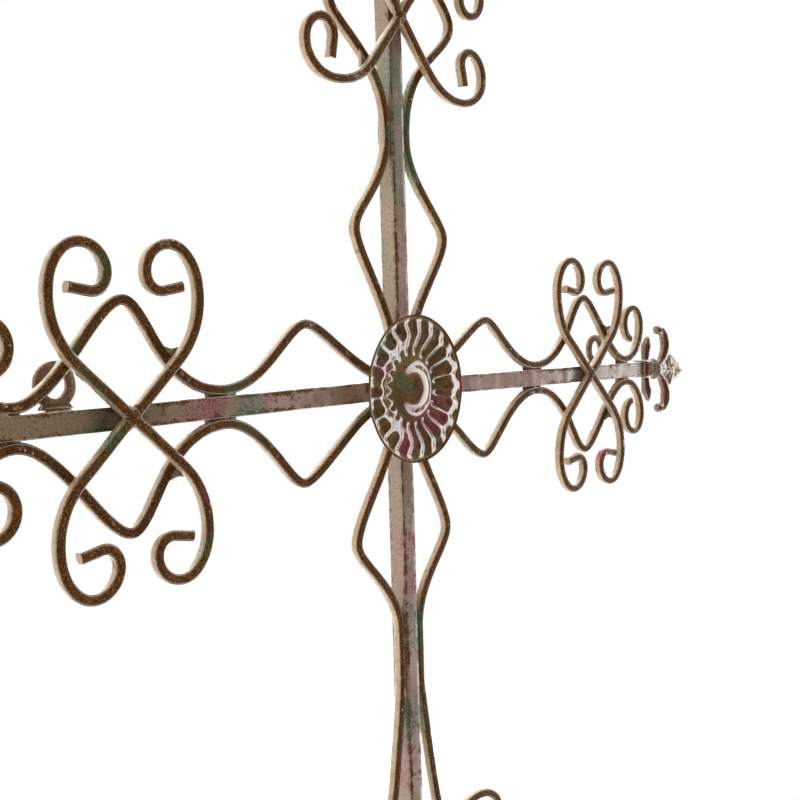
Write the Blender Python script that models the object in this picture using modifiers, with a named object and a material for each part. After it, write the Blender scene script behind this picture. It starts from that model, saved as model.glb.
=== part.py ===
"""Wrought iron wall cross: square bars, wave bars, crossed scrolls, a stamped rosette and cast finials.

Metres, +Z up, x to the viewer's right, the front towards -Y. The wall is the plane y = 0 and the bars of
the cross meet at the origin. Each arm is modelled in its own frame, hung from an empty: x runs out along
the arm, y across it and z off the wall.
"""

import math

import bmesh
import bpy
from mathutils import Vector

MM = 0.001

# Stock and fits
BAR = 12.7 * MM
BAR_EDGE = 0.8 * MM
ROD = 6.35 * MM
GAP = 0.3 * MM
WAVE_STEPS = 5
SCROLL_STEPS = 4
SHARP_ANGLE = math.radians(38)
WELD = 0.001 * MM

# Heights off the wall of the centre of each layer of rod
WAVE_HEIGHT = BAR - ROD / 2
SCROLL_HEIGHT = BAR + GAP + ROD / 2
TOUCH = BAR / 2 + GAP + ROD / 2

# Distances out from the crossing of the bars
SIDE_CROSS = 228 * MM
TOP_CROSS = 243 * MM
BOTTOM_CROSS = 345 * MM
RIGHT_SCROLL_SHIFT = 4.5 * MM
LEFT_SCROLL_SHIFT = 1.5 * MM
ARM_START = BAR / 2 + 2 * GAP
RIGHT_SAG = math.radians(0.45)
LEFT_SAG = math.radians(0.3)

# Wave bars: where each begins, its first bulge and that bulge's rise, then the hump and the curled end
SIDE_TOUCH = 160 * MM
TOP_TOUCH = 167 * MM
BOTTOM_TOUCH = 163 * MM
RIGHT_UPPER = (22 * MM, 95 * MM, 44.6 * MM)
RIGHT_LOWER = (17 * MM, 90.5 * MM, 52.3 * MM)
LEFT_UPPER = (18 * MM, 92 * MM, 45.3 * MM)
LEFT_LOWER = (20 * MM, 97 * MM, 51.2 * MM)
TOP_LEFT = (28 * MM, 105 * MM, 43 * MM)
TOP_RIGHT = (28 * MM, 100.5 * MM, 48.3 * MM)
BOTTOM_LEFT = (18 * MM, 97.5 * MM, 50 * MM)
BOTTOM_RIGHT = (18 * MM, 99 * MM, 43.8 * MM)
LEFT_WAVE_DRAW = 3.3 * MM
HUMP_RISE = 61.3 * MM
HUMP_PAST_CROSS = 4 * MM
LAST_TOUCH_PAST_CROSS = 71 * MM
CURL_REACH = 28.5 * MM
BAR_PAST_CURL = 4.5 * MM
BAR_PAST_CROSS = LAST_TOUCH_PAST_CROSS + CURL_REACH + BAR_PAST_CURL
CURL_SIDE_RISE = 28.5 * MM
CURL_TOP_RISE = 43.2 * MM
CURL_WIDTH = 27.5 * MM
CURL_INNER_RISE = 29.7 * MM
CURL_TAIL = (10.5 * MM, 13.0 * MM)
CURL_TAIL_SLOPE = math.radians(-10)
BOTTOM_LEG = 34 * MM
KNEE_BEFORE_CROSS = 50 * MM
KNEE_RISE = 27 * MM
KNEE_SLOPE = math.radians(22)

# Lengths of the curve handles, as shares of the way to the next point
BEGIN_EASE = 0.33
BULGE_EASE = 0.21
TOUCH_EASE_IN = 0.49
TOUCH_EASE_OUT = 0.66
HUMP_EASE = 0.24
LAST_TOUCH_EASE = 0.37
LEG_EASE = 0.1
KNEE_EASE = 0.25
SCROLL_EASE = 0.36
FOOT_EASE = 0.62
QUARTER = 0.5523

# Crossed scrolls, from the middle of the X to the tail of a curl
SCROLL_SLOPE = math.radians(41.3)
SCROLL_STRAIGHT = 43 * MM
SCROLL_SIDE = (48.4 * MM, 64.0 * MM)
SCROLL_TOP = (28.6 * MM, 90.3 * MM)
SCROLL_INNER = (12.6 * MM, 75.4 * MM)
SCROLL_FOOT = (24.0 * MM, 65.6 * MM)
SCROLL_TAIL = 13 * MM
SCROLL_TAIL_SLOPE = math.radians(10)

# Rosette: radii, and heights over the seat that stands on the bars
ROSETTE_RADIUS = 49 * MM
ROSETTE_LOBES = 20
LOBE_DEPTH = 1.5 * MM
SHEET = 1.8 * MM
SEAT_HEIGHT = BAR + GAP
RIM_HEIGHT = 10.2 * MM
RIM_LIP = 0.8 * MM
RIM_DIP = (ROSETTE_RADIUS - 3 * MM, 9.2 * MM)
FLUTE_CROWN = (ROSETTE_RADIUS - 12 * MM, 11.4 * MM)
FLUTE_FOOT = (ROSETTE_RADIUS - 22 * MM, 6.5 * MM)
VALLEY = (FLUTE_FOOT[0] - 5 * MM, 4.3 * MM)
CONE_TOP = (13.2 * MM, 7.6 * MM)
BUTTON = (11.2 * MM, 9.0 * MM)
BOSS_TOP = 14.0 * MM
DOME_STEPS = 3
SEAT_RING = (14 * MM, 20 * MM)

# Finial, measured out from the end of its bar
FINIAL_MIDDLE = BAR / 2 + 0.65 * MM
SADDLE_LENGTH = 14 * MM
SADDLE_WALL = 1.35 * MM
SADDLE_TOP = 3.5 * MM
SADDLE_OVERLAP = 4.5 * MM
SADDLE_EASE = 3.0 * MM
NECK_OUT = 14 * MM
NECK_HALF = (12 * MM, 5.4 * MM, 4.4 * MM)
SPINDLE_OUT = 11 * MM
SPINDLE_RADIUS = 3.5 * MM
SPINDLE_REACH = 29.5 * MM
SPINDLE_SPLAY = 5 * MM
SPINDLE_PROFILE = ((0.0, 1.0), (0.38, 0.72), (0.75, 1.0), (1.0, 0.3))
COLLARS = ((23.5 * MM, 9.7 * MM), (30.5 * MM, 8.5 * MM))
COLLAR_HALF = (3.6 * MM, 4.8 * MM)
COLLAR_RINGS = (8, 4)
BALL_RINGS = (6, 4)
PETAL_RADIUS = 3.5 * MM
PETAL_ROOT = (33 * MM, 4 * MM)
PETAL_SIDE = (48 * MM, 20.5 * MM)
PETAL_TOP = (37.5 * MM, 33.6 * MM)
PETAL_TIP = (33.5 * MM, 32.4 * MM)
PETAL_STEPS = 3
KNOB_RADIUS = 4.8 * MM
SPEAR_THICKNESS = 6.4 * MM
SPEAR_CHAMFER = 2.2 * MM
SPEAR_LENGTH = 80 * MM
SPEAR_HALF_OUTLINE = (
    (30 * MM, 3.6 * MM),
    (39 * MM, 4.2 * MM),
    (47 * MM, 7.0 * MM),
    (52.5 * MM, 10.6 * MM),
    (56 * MM, 14.2 * MM),
    (62 * MM, 10.4 * MM),
    (70 * MM, 4.8 * MM),
)

# Hanger tabs
TAB_OUT = 265.5 * MM
TAB_RADIUS = 12.4 * MM
TAB_HOLE = 6.8 * MM
TAB_THICKNESS = 3 * MM
TAB_LIFT = 12.5 * MM
TAB_CENTRE = BAR / 2 + TAB_LIFT
TAB_FOOT = 8.6 * MM
TAB_FOOT_HEIGHT = 2.6 * MM
TAB_STEP = math.radians(18)

for old in list(bpy.data.objects):
    bpy.data.objects.remove(old, do_unlink=True)


def collection(name):
    """A new collection in the scene."""
    made = bpy.data.collections.new(name)
    bpy.context.scene.collection.children.link(made)
    return made


PARTS = collection("wrought_iron_cross")
CUTTERS = collection("cutters_and_guides")


def metal(name, colour, roughness):
    """Painted iron of one colour."""
    made = bpy.data.materials.new(name)
    made.use_nodes = True
    shader = made.node_tree.nodes["Principled BSDF"]
    shader.inputs["Base Color"].default_value = (*colour, 1.0)
    shader.inputs["Roughness"].default_value = roughness
    shader.inputs["Metallic"].default_value = 0.35
    return made


TAUPE = metal("bar_paint", (0.17, 0.125, 0.095), 0.45)
BROWN = metal("rod_paint", (0.10, 0.058, 0.035), 0.42)
CAST_BROWN = metal("casting_paint", (0.12, 0.065, 0.045), 0.40)
ROSETTE_BROWN = metal("rosette_paint", (0.13, 0.09, 0.06), 0.38)
TAB_TAUPE = metal("tab_paint", (0.15, 0.115, 0.085), 0.5)


def guide(obj):
    """Marks an object as a cutter or a guide."""
    obj.hide_render = True
    obj.display_type = "WIRE"
    return obj


def add(name, data, material=None, parent=None, group=PARTS):
    """A new object of this data in a collection."""
    obj = bpy.data.objects.new(name, data)
    group.objects.link(obj)
    if material and not data.materials:
        data.materials.append(material)
    obj.parent = parent
    return obj


def box_mesh(name, size, centre):
    """A box with its scale applied, about a centre."""
    mesh = bpy.data.meshes.new(name)
    cage = bmesh.new()
    bmesh.ops.create_cube(cage, size=1.0)
    bmesh.ops.scale(cage, vec=Vector(size), verts=cage.verts)
    bmesh.ops.translate(cage, vec=Vector(centre), verts=cage.verts)
    cage.to_mesh(mesh)
    cage.free()
    return mesh


def ball_mesh(name, half_sizes, centre, rings):
    """An ellipsoid about a centre, with its poles along the arm."""
    mesh = bpy.data.meshes.new(name)
    cage = bmesh.new()
    bmesh.ops.create_uvsphere(cage, u_segments=rings[0], v_segments=rings[1], radius=1.0)
    for vert in cage.verts:
        x, y, z = vert.co
        vert.co = Vector((z * half_sizes[0], y * half_sizes[1], -x * half_sizes[2]))
    bmesh.ops.translate(cage, vec=Vector(centre), verts=cage.verts)
    cage.to_mesh(mesh)
    cage.free()
    return mesh


def as_mesh(obj):
    """The object's evaluated shape as a welded mesh, with the object itself removed."""
    bpy.context.view_layer.update()
    shape = bpy.data.meshes.new_from_object(obj.evaluated_get(bpy.context.evaluated_depsgraph_get()))
    place = obj.matrix_world.copy()
    bpy.data.objects.remove(obj, do_unlink=True)
    cage = bmesh.new()
    cage.from_mesh(shape)
    bmesh.ops.transform(cage, matrix=place, verts=cage.verts)
    bmesh.ops.remove_doubles(cage, verts=cage.verts, dist=WELD)
    bmesh.ops.recalc_face_normals(cage, faces=cage.faces)
    cage.to_mesh(shape)
    cage.free()
    return shape


def smooth(mesh):
    """Shades a round piece smooth, with its real edges kept sharp."""
    mesh.shade_smooth()
    mesh.set_sharp_from_angle(angle=SHARP_ANGLE)
    return mesh


def boolean(obj, other, operation):
    """Adds one EXACT Boolean with a guide object to a piece."""
    step = obj.modifiers.new(operation.lower(), "BOOLEAN")
    step.operation = operation
    step.object = other
    step.solver = "EXACT"


def knot(at, heading, reach_in, reach_out):
    """A Bezier point: its place and its two handles, along one heading."""
    at = Vector((at[0], at[1], 0.0))
    along = Vector((math.cos(heading), math.sin(heading), 0.0))
    return at - along * reach_in, at, at + along * reach_out


def flipped(knots, across=1, along=1):
    """The knots mirrored over the arm's axis, or over the line across it."""
    return [tuple(Vector((along * p.x, across * p.y, 0.0)) for p in three) for three in knots]


def turned_round(knots):
    """The knots in the opposite order."""
    return [(after, at, before) for before, at, after in reversed(knots)]


def moved(knots, out):
    """The knots moved out along the arm."""
    return [tuple(p + Vector((out, 0.0, 0.0)) for p in three) for three in knots]


def square_profile():
    """The section of the thin square rod, drawn about its centre."""
    curve = bpy.data.curves.new("rod_section", "CURVE")
    curve.dimensions = "2D"
    spline = curve.splines.new("POLY")
    spline.points.add(3)
    half = ROD / 2
    for point, corner in zip(spline.points, ((half, half), (half, -half), (-half, -half), (-half, half))):
        point.co = (*corner, 0.0, 1.0)
    spline.use_cyclic_u = True
    return guide(add("rod_section", curve, group=CUTTERS))


ROD_SECTION = square_profile()


def rod(name, knots, height, steps, parent, straight=()):
    """A square rod bent along the knots, at a height off the wall; the named runs stay straight."""
    curve = bpy.data.curves.new(name, "CURVE")
    curve.dimensions = "2D"
    curve.resolution_u = steps
    curve.bevel_mode = "OBJECT"
    curve.bevel_object = ROD_SECTION
    curve.use_fill_caps = True
    spline = curve.splines.new("BEZIER")
    spline.bezier_points.add(len(knots) - 1)
    for index, (point, (before, at, after)) in enumerate(zip(spline.bezier_points, knots)):
        point.handle_left_type = "VECTOR" if index - 1 in straight else "FREE"
        point.handle_right_type = "VECTOR" if index in straight else "FREE"
        point.co = at
        point.handle_left = before
        point.handle_right = after
    obj = add(name, curve, BROWN, parent)
    obj.location.z = height
    return obj


def wave_curl(start, reach_in):
    """The curled end of a wave, from its last touch on the bar."""
    reach = (CURL_REACH * QUARTER, CURL_SIDE_RISE * QUARTER)
    top_u = start + CURL_REACH - CURL_WIDTH / 2
    inner_u = start + CURL_REACH - CURL_WIDTH
    upper = (CURL_TOP_RISE - CURL_SIDE_RISE) * QUARTER
    inner = (CURL_TOP_RISE - CURL_INNER_RISE) * QUARTER
    half = CURL_WIDTH / 2 * QUARTER
    tail_turn = math.pi / 2 + CURL_TAIL_SLOPE
    tail_reach = 4 / 3 * math.tan(tail_turn / 4) * math.hypot(*CURL_TAIL) / (2 * math.sin(tail_turn / 2))
    tail = (inner_u + CURL_TAIL[0], TOUCH + CURL_INNER_RISE - CURL_TAIL[1])
    return [
        knot((start, TOUCH), 0.0, reach_in, reach[0]),
        knot((start + CURL_REACH, TOUCH + CURL_SIDE_RISE), math.pi / 2, reach[1], upper),
        knot((top_u, TOUCH + CURL_TOP_RISE), math.pi, half, half),
        knot((inner_u, TOUCH + CURL_INNER_RISE), 1.5 * math.pi, inner, tail_reach),
        knot(tail, CURL_TAIL_SLOPE, tail_reach, 0.0),
    ]


def wave_knots(shape, touch, cross, leg=0.0, draw=0.0):
    """A wave bar: bulge, touch on the bar, hump behind the X, second touch, curl; a long arm adds a leg."""
    begin, bulge, bulge_rise = shape
    hump = cross + HUMP_PAST_CROSS - draw
    last = cross + LAST_TOUCH_PAST_CROSS - draw
    rise, fall, climb, drop = bulge - begin, touch - bulge, hump - touch, last - hump
    points = [
        knot((begin, TOUCH), 0.0, 0.0, BEGIN_EASE * rise),
        knot((bulge, bulge_rise), 0.0, BULGE_EASE * rise, BULGE_EASE * fall),
    ]
    if leg:
        knee = cross - KNEE_BEFORE_CROSS
        bend = hump - knee
        points += [
            knot((touch, TOUCH), 0.0, TOUCH_EASE_IN * fall, LEG_EASE * leg),
            knot((touch + leg, TOUCH), 0.0, LEG_EASE * leg, LEG_EASE * (knee - touch - leg)),
            knot((knee, KNEE_RISE), KNEE_SLOPE, KNEE_EASE * bend, KNEE_EASE * bend),
            knot((hump, HUMP_RISE), 0.0, 2 * KNEE_EASE * bend, HUMP_EASE * drop),
        ]
    else:
        points += [
            knot((touch, TOUCH), 0.0, TOUCH_EASE_IN * fall, TOUCH_EASE_OUT * climb),
            knot((hump, HUMP_RISE), 0.0, HUMP_EASE * climb, HUMP_EASE * drop),
        ]
    return points + wave_curl(last, LAST_TOUCH_EASE * drop)


def half_scroll_knots(start):
    """Half of an X bar, from a distance off its middle to the tail of its curl."""
    slope = SCROLL_SLOPE
    bend = (SCROLL_STRAIGHT * math.cos(slope), SCROLL_STRAIGHT * math.sin(slope))
    reach = math.dist(bend, SCROLL_SIDE) * SCROLL_EASE
    side_up = (SCROLL_TOP[1] - SCROLL_SIDE[1]) * QUARTER
    top_in = (SCROLL_SIDE[0] - SCROLL_TOP[0]) * QUARTER
    top_out = (SCROLL_TOP[0] - SCROLL_INNER[0]) * QUARTER
    inner_in = (SCROLL_TOP[1] - SCROLL_INNER[1]) * QUARTER
    inner_out = (SCROLL_INNER[1] - SCROLL_FOOT[1]) * FOOT_EASE
    tail = (SCROLL_FOOT[0] + SCROLL_TAIL * math.cos(SCROLL_TAIL_SLOPE),
            SCROLL_FOOT[1] + SCROLL_TAIL * math.sin(SCROLL_TAIL_SLOPE))
    return [
        knot((start * math.cos(slope), start * math.sin(slope)), slope, 0.0, 0.0),
        knot(bend, slope, 0.0, reach),
        knot(SCROLL_SIDE, math.pi / 2, reach, side_up),
        knot(SCROLL_TOP, math.pi, top_in, top_out),
        knot(SCROLL_INNER, 1.5 * math.pi, inner_in, inner_out),
        knot(SCROLL_FOOT, SCROLL_TAIL_SLOPE, inner_out, 0.0),
        knot(tail, SCROLL_TAIL_SLOPE, 0.0, 0.0),
    ]


def crossed_scrolls(name, parent, cross):
    """One X: a bar that runs through and two halves that butt against its sides."""
    arm = half_scroll_knots(0.0)[1:]
    inward = turned_round(flipped(arm, across=1, along=-1))
    through = inward + flipped(arm, across=-1)
    middle = len(arm) - 1
    lean = 2 * SCROLL_SLOPE
    half = half_scroll_knots((ROD / 2 + GAP + ROD / 2 * math.cos(lean)) / math.sin(lean))
    pieces = (
        ("_cross_scroll", through, (0, middle, len(through) - 2)),
        ("_outer_scroll", half, (0, len(half) - 2)),
        ("_inner_scroll", flipped(half, across=-1, along=-1), (0, len(half) - 2)),
    )
    for ending, knots, straight in pieces:
        rod(name + ending, moved(knots, cross), SCROLL_HEIGHT, SCROLL_STEPS, parent, straight)


def bar(name, start, end, parent):
    """A length of the heavy square bar with its long edges eased."""
    mesh = box_mesh(name, (end - start, BAR, BAR), ((start + end) / 2, 0.0, BAR / 2))
    obj = add(name, mesh, TAUPE, parent)
    ease = obj.modifiers.new("eased_edges", "BEVEL")
    ease.width = BAR_EDGE
    ease.segments = 1
    return obj


def rosette_profile():
    """The dish's section as (radius, height) points: the front from the middle out, then the back."""
    button_r, button_h = BUTTON
    rim = ROSETTE_RADIUS
    quarter = [math.pi / 2 * step / DOME_STEPS for step in range(DOME_STEPS + 1)]
    front = [(button_r * math.sin(a), button_h + (BOSS_TOP - button_h) * math.cos(a)) for a in quarter]
    front += [CONE_TOP, VALLEY, FLUTE_FOOT]
    front += [FLUTE_CROWN, RIM_DIP, (rim - RIM_LIP, RIM_HEIGHT), (rim, RIM_HEIGHT - RIM_LIP)]
    inner, outer = SEAT_RING
    back = [(radius, height - SHEET) for radius, height in (RIM_DIP, FLUTE_CROWN, FLUTE_FOOT)]
    back += [(outer, 0.0), (inner, 0.0), (0.0, BOSS_TOP - 2 * SHEET)]
    return [(radius, SEAT_HEIGHT + height) for radius, height in front + back]


def rosette():
    """The stamped dish, turned about the wall's normal, with its ring of lobes pressed in."""
    profile = bpy.data.meshes.new("rosette_profile")
    points = [(radius, 0.0, height) for radius, height in rosette_profile()]
    profile.from_pydata(points, [(i, i + 1) for i in range(len(points) - 1)], [])
    turned = add("rosette_profile", profile, group=CUTTERS)
    spin = turned.modifiers.new("turn", "SCREW")
    spin.axis = "Z"
    spin.steps = 2 * ROSETTE_LOBES
    spin.render_steps = spin.steps
    spin.use_merge_vertices = True
    spin.merge_threshold = WELD
    shape = as_mesh(turned)
    for vert in shape.vertices:
        radius = math.hypot(vert.co.x, vert.co.y)
        if VALLEY[0] + SHEET < radius < ROSETTE_RADIUS - 2 * RIM_LIP:
            angle = math.atan2(vert.co.y, vert.co.x)
            vert.co.z += LOBE_DEPTH * (math.cos(ROSETTE_LOBES * angle) - 1) / 2
    obj = add("rosette", smooth(shape), ROSETTE_BROWN)
    obj.rotation_euler = (math.pi / 2, 0.0, 0.0)
    return obj


def round_wire(name, points, radii, radius):
    """A round tapering bar through the points, as a guide object to be joined."""
    curve = bpy.data.curves.new(name, "CURVE")
    curve.dimensions = "3D"
    curve.bevel_depth = radius
    curve.bevel_resolution = 1
    curve.use_fill_caps = True
    spline = curve.splines.new("POLY")
    spline.points.add(len(points) - 1)
    for point, (x, y), share in zip(spline.points, points, radii):
        point.co = (x, y, FINIAL_MIDDLE, 1.0)
        point.radius = share
    return guide(add(name, as_mesh(add(name, curve, group=CUTTERS)), group=CUTTERS))


def spindle_points():
    """The pair of spindles: one bent line from tip to tip, and its thickness along the way."""
    half = list(SPINDLE_PROFILE)
    whole = [(-share, thick) for share, thick in reversed(half[1:])] + half
    points = [(SPINDLE_OUT + SPINDLE_SPLAY * share * share, SPINDLE_REACH * share) for share, _ in whole]
    return points, [thick for _, thick in whole]


def quarter_turn(start, end, across_first):
    """Points of a quarter turn between two places, leaving straight along or straight across the arm."""
    points = []
    for step in range(PETAL_STEPS + 1):
        angle = math.pi / 2 * step / PETAL_STEPS
        rise = math.sin(angle) if across_first else 1 - math.cos(angle)
        out = 1 - math.cos(angle) if across_first else math.sin(angle)
        points.append((start[0] + (end[0] - start[0]) * out, start[1] + (end[1] - start[1]) * rise))
    return points


def petal_points(side):
    """One side petal's centre line: out from the collar, round, and back to its knob."""
    lower = quarter_turn(PETAL_ROOT, PETAL_SIDE, False)
    upper = quarter_turn(PETAL_SIDE, PETAL_TOP, True)
    line = lower + upper[1:] + [PETAL_TIP]
    return [(x, side * y) for x, y in line]


def spear():
    """The middle petal: a barbed leaf with chamfered edges."""
    curve = bpy.data.curves.new("spear", "CURVE")
    curve.dimensions = "2D"
    curve.fill_mode = "BOTH"
    curve.extrude = SPEAR_THICKNESS / 2 - SPEAR_CHAMFER
    curve.bevel_depth = SPEAR_CHAMFER
    curve.bevel_resolution = 0
    curve.offset = -SPEAR_CHAMFER
    spline = curve.splines.new("POLY")
    outline = list(SPEAR_HALF_OUTLINE) + [(SPEAR_LENGTH, 0.0)]
    outline += [(x, -y) for x, y in reversed(SPEAR_HALF_OUTLINE)]
    spline.points.add(len(outline) - 1)
    for point, (x, y) in zip(spline.points, outline):
        point.co = (x, y, 0.0, 1.0)
    spline.use_cyclic_u = True
    obj = add("spear", curve, group=CUTTERS)
    obj.location.z = FINIAL_MIDDLE
    return guide(add("spear", as_mesh(obj), group=CUTTERS))


def saddle_block():
    """The block that caps the end of a bar, open at the back and towards the bar."""
    height = BAR + SADDLE_TOP
    width = BAR + 2 * (GAP + SADDLE_WALL)
    middle = (SADDLE_LENGTH / 2 - SADDLE_OVERLAP, 0.0, height / 2 + GAP)
    saddle = add("finial_body", box_mesh("saddle", (SADDLE_LENGTH, width, height), middle), group=CUTTERS)
    ease = saddle.modifiers.new("eased_edges", "BEVEL")
    ease.width = SADDLE_EASE
    ease.segments = 1
    pocket_size = (2 * (SADDLE_OVERLAP + GAP), BAR + 2 * GAP, 2 * (BAR + GAP))
    pocket = box_mesh("pocket", pocket_size, (-SADDLE_OVERLAP, 0.0, 0.0))
    boolean(saddle, guide(add("pocket", pocket, group=CUTTERS)), "DIFFERENCE")
    return saddle


def finial_mesh():
    """The casting, measured out from the end of its bar, as one closed body."""
    body = saddle_block()
    lumps = [ball_mesh("neck", NECK_HALF, (NECK_OUT, 0.0, FINIAL_MIDDLE), BALL_RINGS)]
    for out, half_width in COLLARS:
        sizes = (COLLAR_HALF[0], half_width, COLLAR_HALF[1])
        lumps.append(ball_mesh("collar", sizes, (out, 0.0, FINIAL_MIDDLE), COLLAR_RINGS))
    for side in (-1, 1):
        knob_at = (PETAL_TIP[0], side * PETAL_TIP[1], FINIAL_MIDDLE)
        lumps.append(ball_mesh("knob", (KNOB_RADIUS,) * 3, knob_at, BALL_RINGS))
    joined = [guide(add("joined", mesh, group=CUTTERS)) for mesh in lumps]
    points, thickness = spindle_points()
    joined.append(round_wire("spindles", points, thickness, SPINDLE_RADIUS))
    for side in (-1, 1):
        line = petal_points(side)
        joined.append(round_wire("petal", line, [1.0] * len(line), PETAL_RADIUS))
    joined.append(spear())
    for other in joined:
        boolean(body, other, "UNION")
    return smooth(as_mesh(body))


def hanger_tab(name, parent, side):
    """A flat ring with a foot, standing on the top of an arm at the back."""
    curve = bpy.data.curves.new(name, "CURVE")
    curve.dimensions = "2D"
    curve.fill_mode = "BOTH"
    curve.extrude = TAB_THICKNESS / 2
    foot_level = -(TAB_CENTRE - BAR / 2 - GAP)
    neck_angle = math.asin((foot_level + TAB_FOOT_HEIGHT) / TAB_RADIUS)
    steps = round((math.pi - 2 * neck_angle) / TAB_STEP)
    outer = [(TAB_RADIUS * math.cos(a), TAB_RADIUS * math.sin(a))
             for a in (neck_angle + (math.pi - 2 * neck_angle) * i / steps for i in range(steps + 1))]
    outer += [(-TAB_FOOT, foot_level), (TAB_FOOT, foot_level)]
    hole_steps = round(2 * math.pi / TAB_STEP)
    hole = [(TAB_HOLE * math.cos(i * TAB_STEP), TAB_HOLE * math.sin(i * TAB_STEP)) for i in range(hole_steps)]
    for line in (outer, hole):
        spline = curve.splines.new("POLY")
        spline.points.add(len(line) - 1)
        for point, (x, y) in zip(spline.points, line):
            point.co = (x, y, 0.0, 1.0)
        spline.use_cyclic_u = True
    obj = add(name, curve, TAB_TAUPE, parent)
    obj.location = (TAB_OUT, side * TAB_CENTRE, TAB_THICKNESS / 2)
    obj.rotation_euler = (0.0, 0.0, 0.0 if side > 0 else math.pi)
    return obj


def arm_frame(name, turn):
    """An empty at the crossing whose x axis runs out along an arm."""
    empty = bpy.data.objects.new(name + "_arm", None)
    PARTS.objects.link(empty)
    empty.rotation_euler = (math.pi / 2, -turn, 0.0)
    return empty


def dress_arm(name, frame, cross, scroll_shift, waves):
    """Puts the waves, the X of scrolls and the finial on one arm."""
    for side, (wave, knots) in zip((1, -1), waves):
        rod(wave, flipped(knots, across=side), WAVE_HEIGHT, WAVE_STEPS, frame)
    crossed_scrolls(name, frame, cross + scroll_shift)
    end = add(name + "_finial", FINIAL, CAST_BROWN, frame)
    end.location.x = cross + BAR_PAST_CROSS


def side_wave(shape, draw=0.0):
    """A wave of a side arm; the left arm's are drawn a little nearer the rosette."""
    return wave_knots(shape, SIDE_TOUCH, SIDE_CROSS, draw=draw)


def top_wave(shape):
    """A wave of the upper arm."""
    return wave_knots(shape, TOP_TOUCH, TOP_CROSS)


def bottom_wave(shape):
    """A wave of the long lower arm."""
    return wave_knots(shape, BOTTOM_TOUCH, BOTTOM_CROSS, leg=BOTTOM_LEG)


FINIAL = finial_mesh()
RIGHT = arm_frame("right", -RIGHT_SAG)
TOP = arm_frame("top", math.pi / 2)
LEFT = arm_frame("left", math.pi + LEFT_SAG)
BOTTOM = arm_frame("bottom", 1.5 * math.pi)

dress_arm("right", RIGHT, SIDE_CROSS, RIGHT_SCROLL_SHIFT,
          (("right_upper_wave", side_wave(RIGHT_UPPER)),
           ("right_lower_wave", side_wave(RIGHT_LOWER))))
dress_arm("top", TOP, TOP_CROSS, 0.0,
          (("top_left_wave", top_wave(TOP_LEFT)),
           ("top_right_wave", top_wave(TOP_RIGHT))))
dress_arm("left", LEFT, SIDE_CROSS, LEFT_SCROLL_SHIFT,
          (("left_lower_wave", side_wave(LEFT_LOWER, LEFT_WAVE_DRAW)),
           ("left_upper_wave", side_wave(LEFT_UPPER, LEFT_WAVE_DRAW))))
dress_arm("bottom", BOTTOM, BOTTOM_CROSS, 0.0,
          (("bottom_right_wave", bottom_wave(BOTTOM_RIGHT)),
           ("bottom_left_wave", bottom_wave(BOTTOM_LEFT))))

bar("right_arm_bar", ARM_START, SIDE_CROSS + BAR_PAST_CROSS, RIGHT)
bar("left_arm_bar", ARM_START, SIDE_CROSS + BAR_PAST_CROSS, LEFT)
bar("upright_bar", -(BOTTOM_CROSS + BAR_PAST_CROSS), TOP_CROSS + BAR_PAST_CROSS, TOP)
hanger_tab("right_hanger_tab", RIGHT, 1)
hanger_tab("left_hanger_tab", LEFT, -1)
rosette()
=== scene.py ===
"""Looks for the wrought iron wall cross: finely swept bars, weld beads, a fluted rosette, cast finials,
worn brown paint with painted shade and reflection in places, and a plain studio with the camera at the photograph's
viewing angle.

Metres, +Z up, the wall at y = 0 and the front towards -Y. Shapes repeat the construction's own sizes in
each arm's frame: u runs out along the arm, v across it and h off the wall.
"""

import math

import bpy
import numpy as np
from mathutils import Matrix, Vector


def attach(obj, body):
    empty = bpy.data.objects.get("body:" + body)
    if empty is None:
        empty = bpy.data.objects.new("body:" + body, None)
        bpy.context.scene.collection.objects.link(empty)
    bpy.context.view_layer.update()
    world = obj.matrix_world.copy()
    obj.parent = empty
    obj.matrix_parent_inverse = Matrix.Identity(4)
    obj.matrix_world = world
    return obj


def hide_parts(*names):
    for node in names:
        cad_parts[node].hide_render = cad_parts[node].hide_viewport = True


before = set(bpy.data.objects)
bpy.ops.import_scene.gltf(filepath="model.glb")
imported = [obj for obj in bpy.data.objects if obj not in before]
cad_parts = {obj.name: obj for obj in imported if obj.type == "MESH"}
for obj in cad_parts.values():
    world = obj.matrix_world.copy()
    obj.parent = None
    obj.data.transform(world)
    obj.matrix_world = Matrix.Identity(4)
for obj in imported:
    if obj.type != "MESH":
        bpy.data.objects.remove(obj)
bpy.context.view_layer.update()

MM = 0.001

# Stock and fits
BAR = 12.7 * MM
ROD = 6.35 * MM
GAP = 0.3 * MM
BAR_ROUND = 1.0 * MM
ROD_ROUND = 1.95 * MM
END_ROUND = 0.5 * MM
BAR_STEP = 2.2 * MM
ROD_STEP = 1.5 * MM
WEB_REACH = 9 * MM
SIDE_POINTS = 3
CORNER_POINTS = 4
WAVE_HEIGHT = BAR - ROD / 2
SCROLL_HEIGHT = BAR + GAP + ROD / 2
TOUCH = BAR / 2 + GAP + ROD / 2

# Arms, out from the crossing of the bars
SIDE_CROSS = 228 * MM
TOP_CROSS = 243 * MM
BOTTOM_CROSS = 345 * MM
RIGHT_SCROLL_SHIFT = 4.5 * MM
LEFT_SCROLL_SHIFT = 1.5 * MM
ARM_START = BAR / 2 + 2 * GAP
RIGHT_SAG = math.radians(0.45)
LEFT_SAG = math.radians(0.3)

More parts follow.
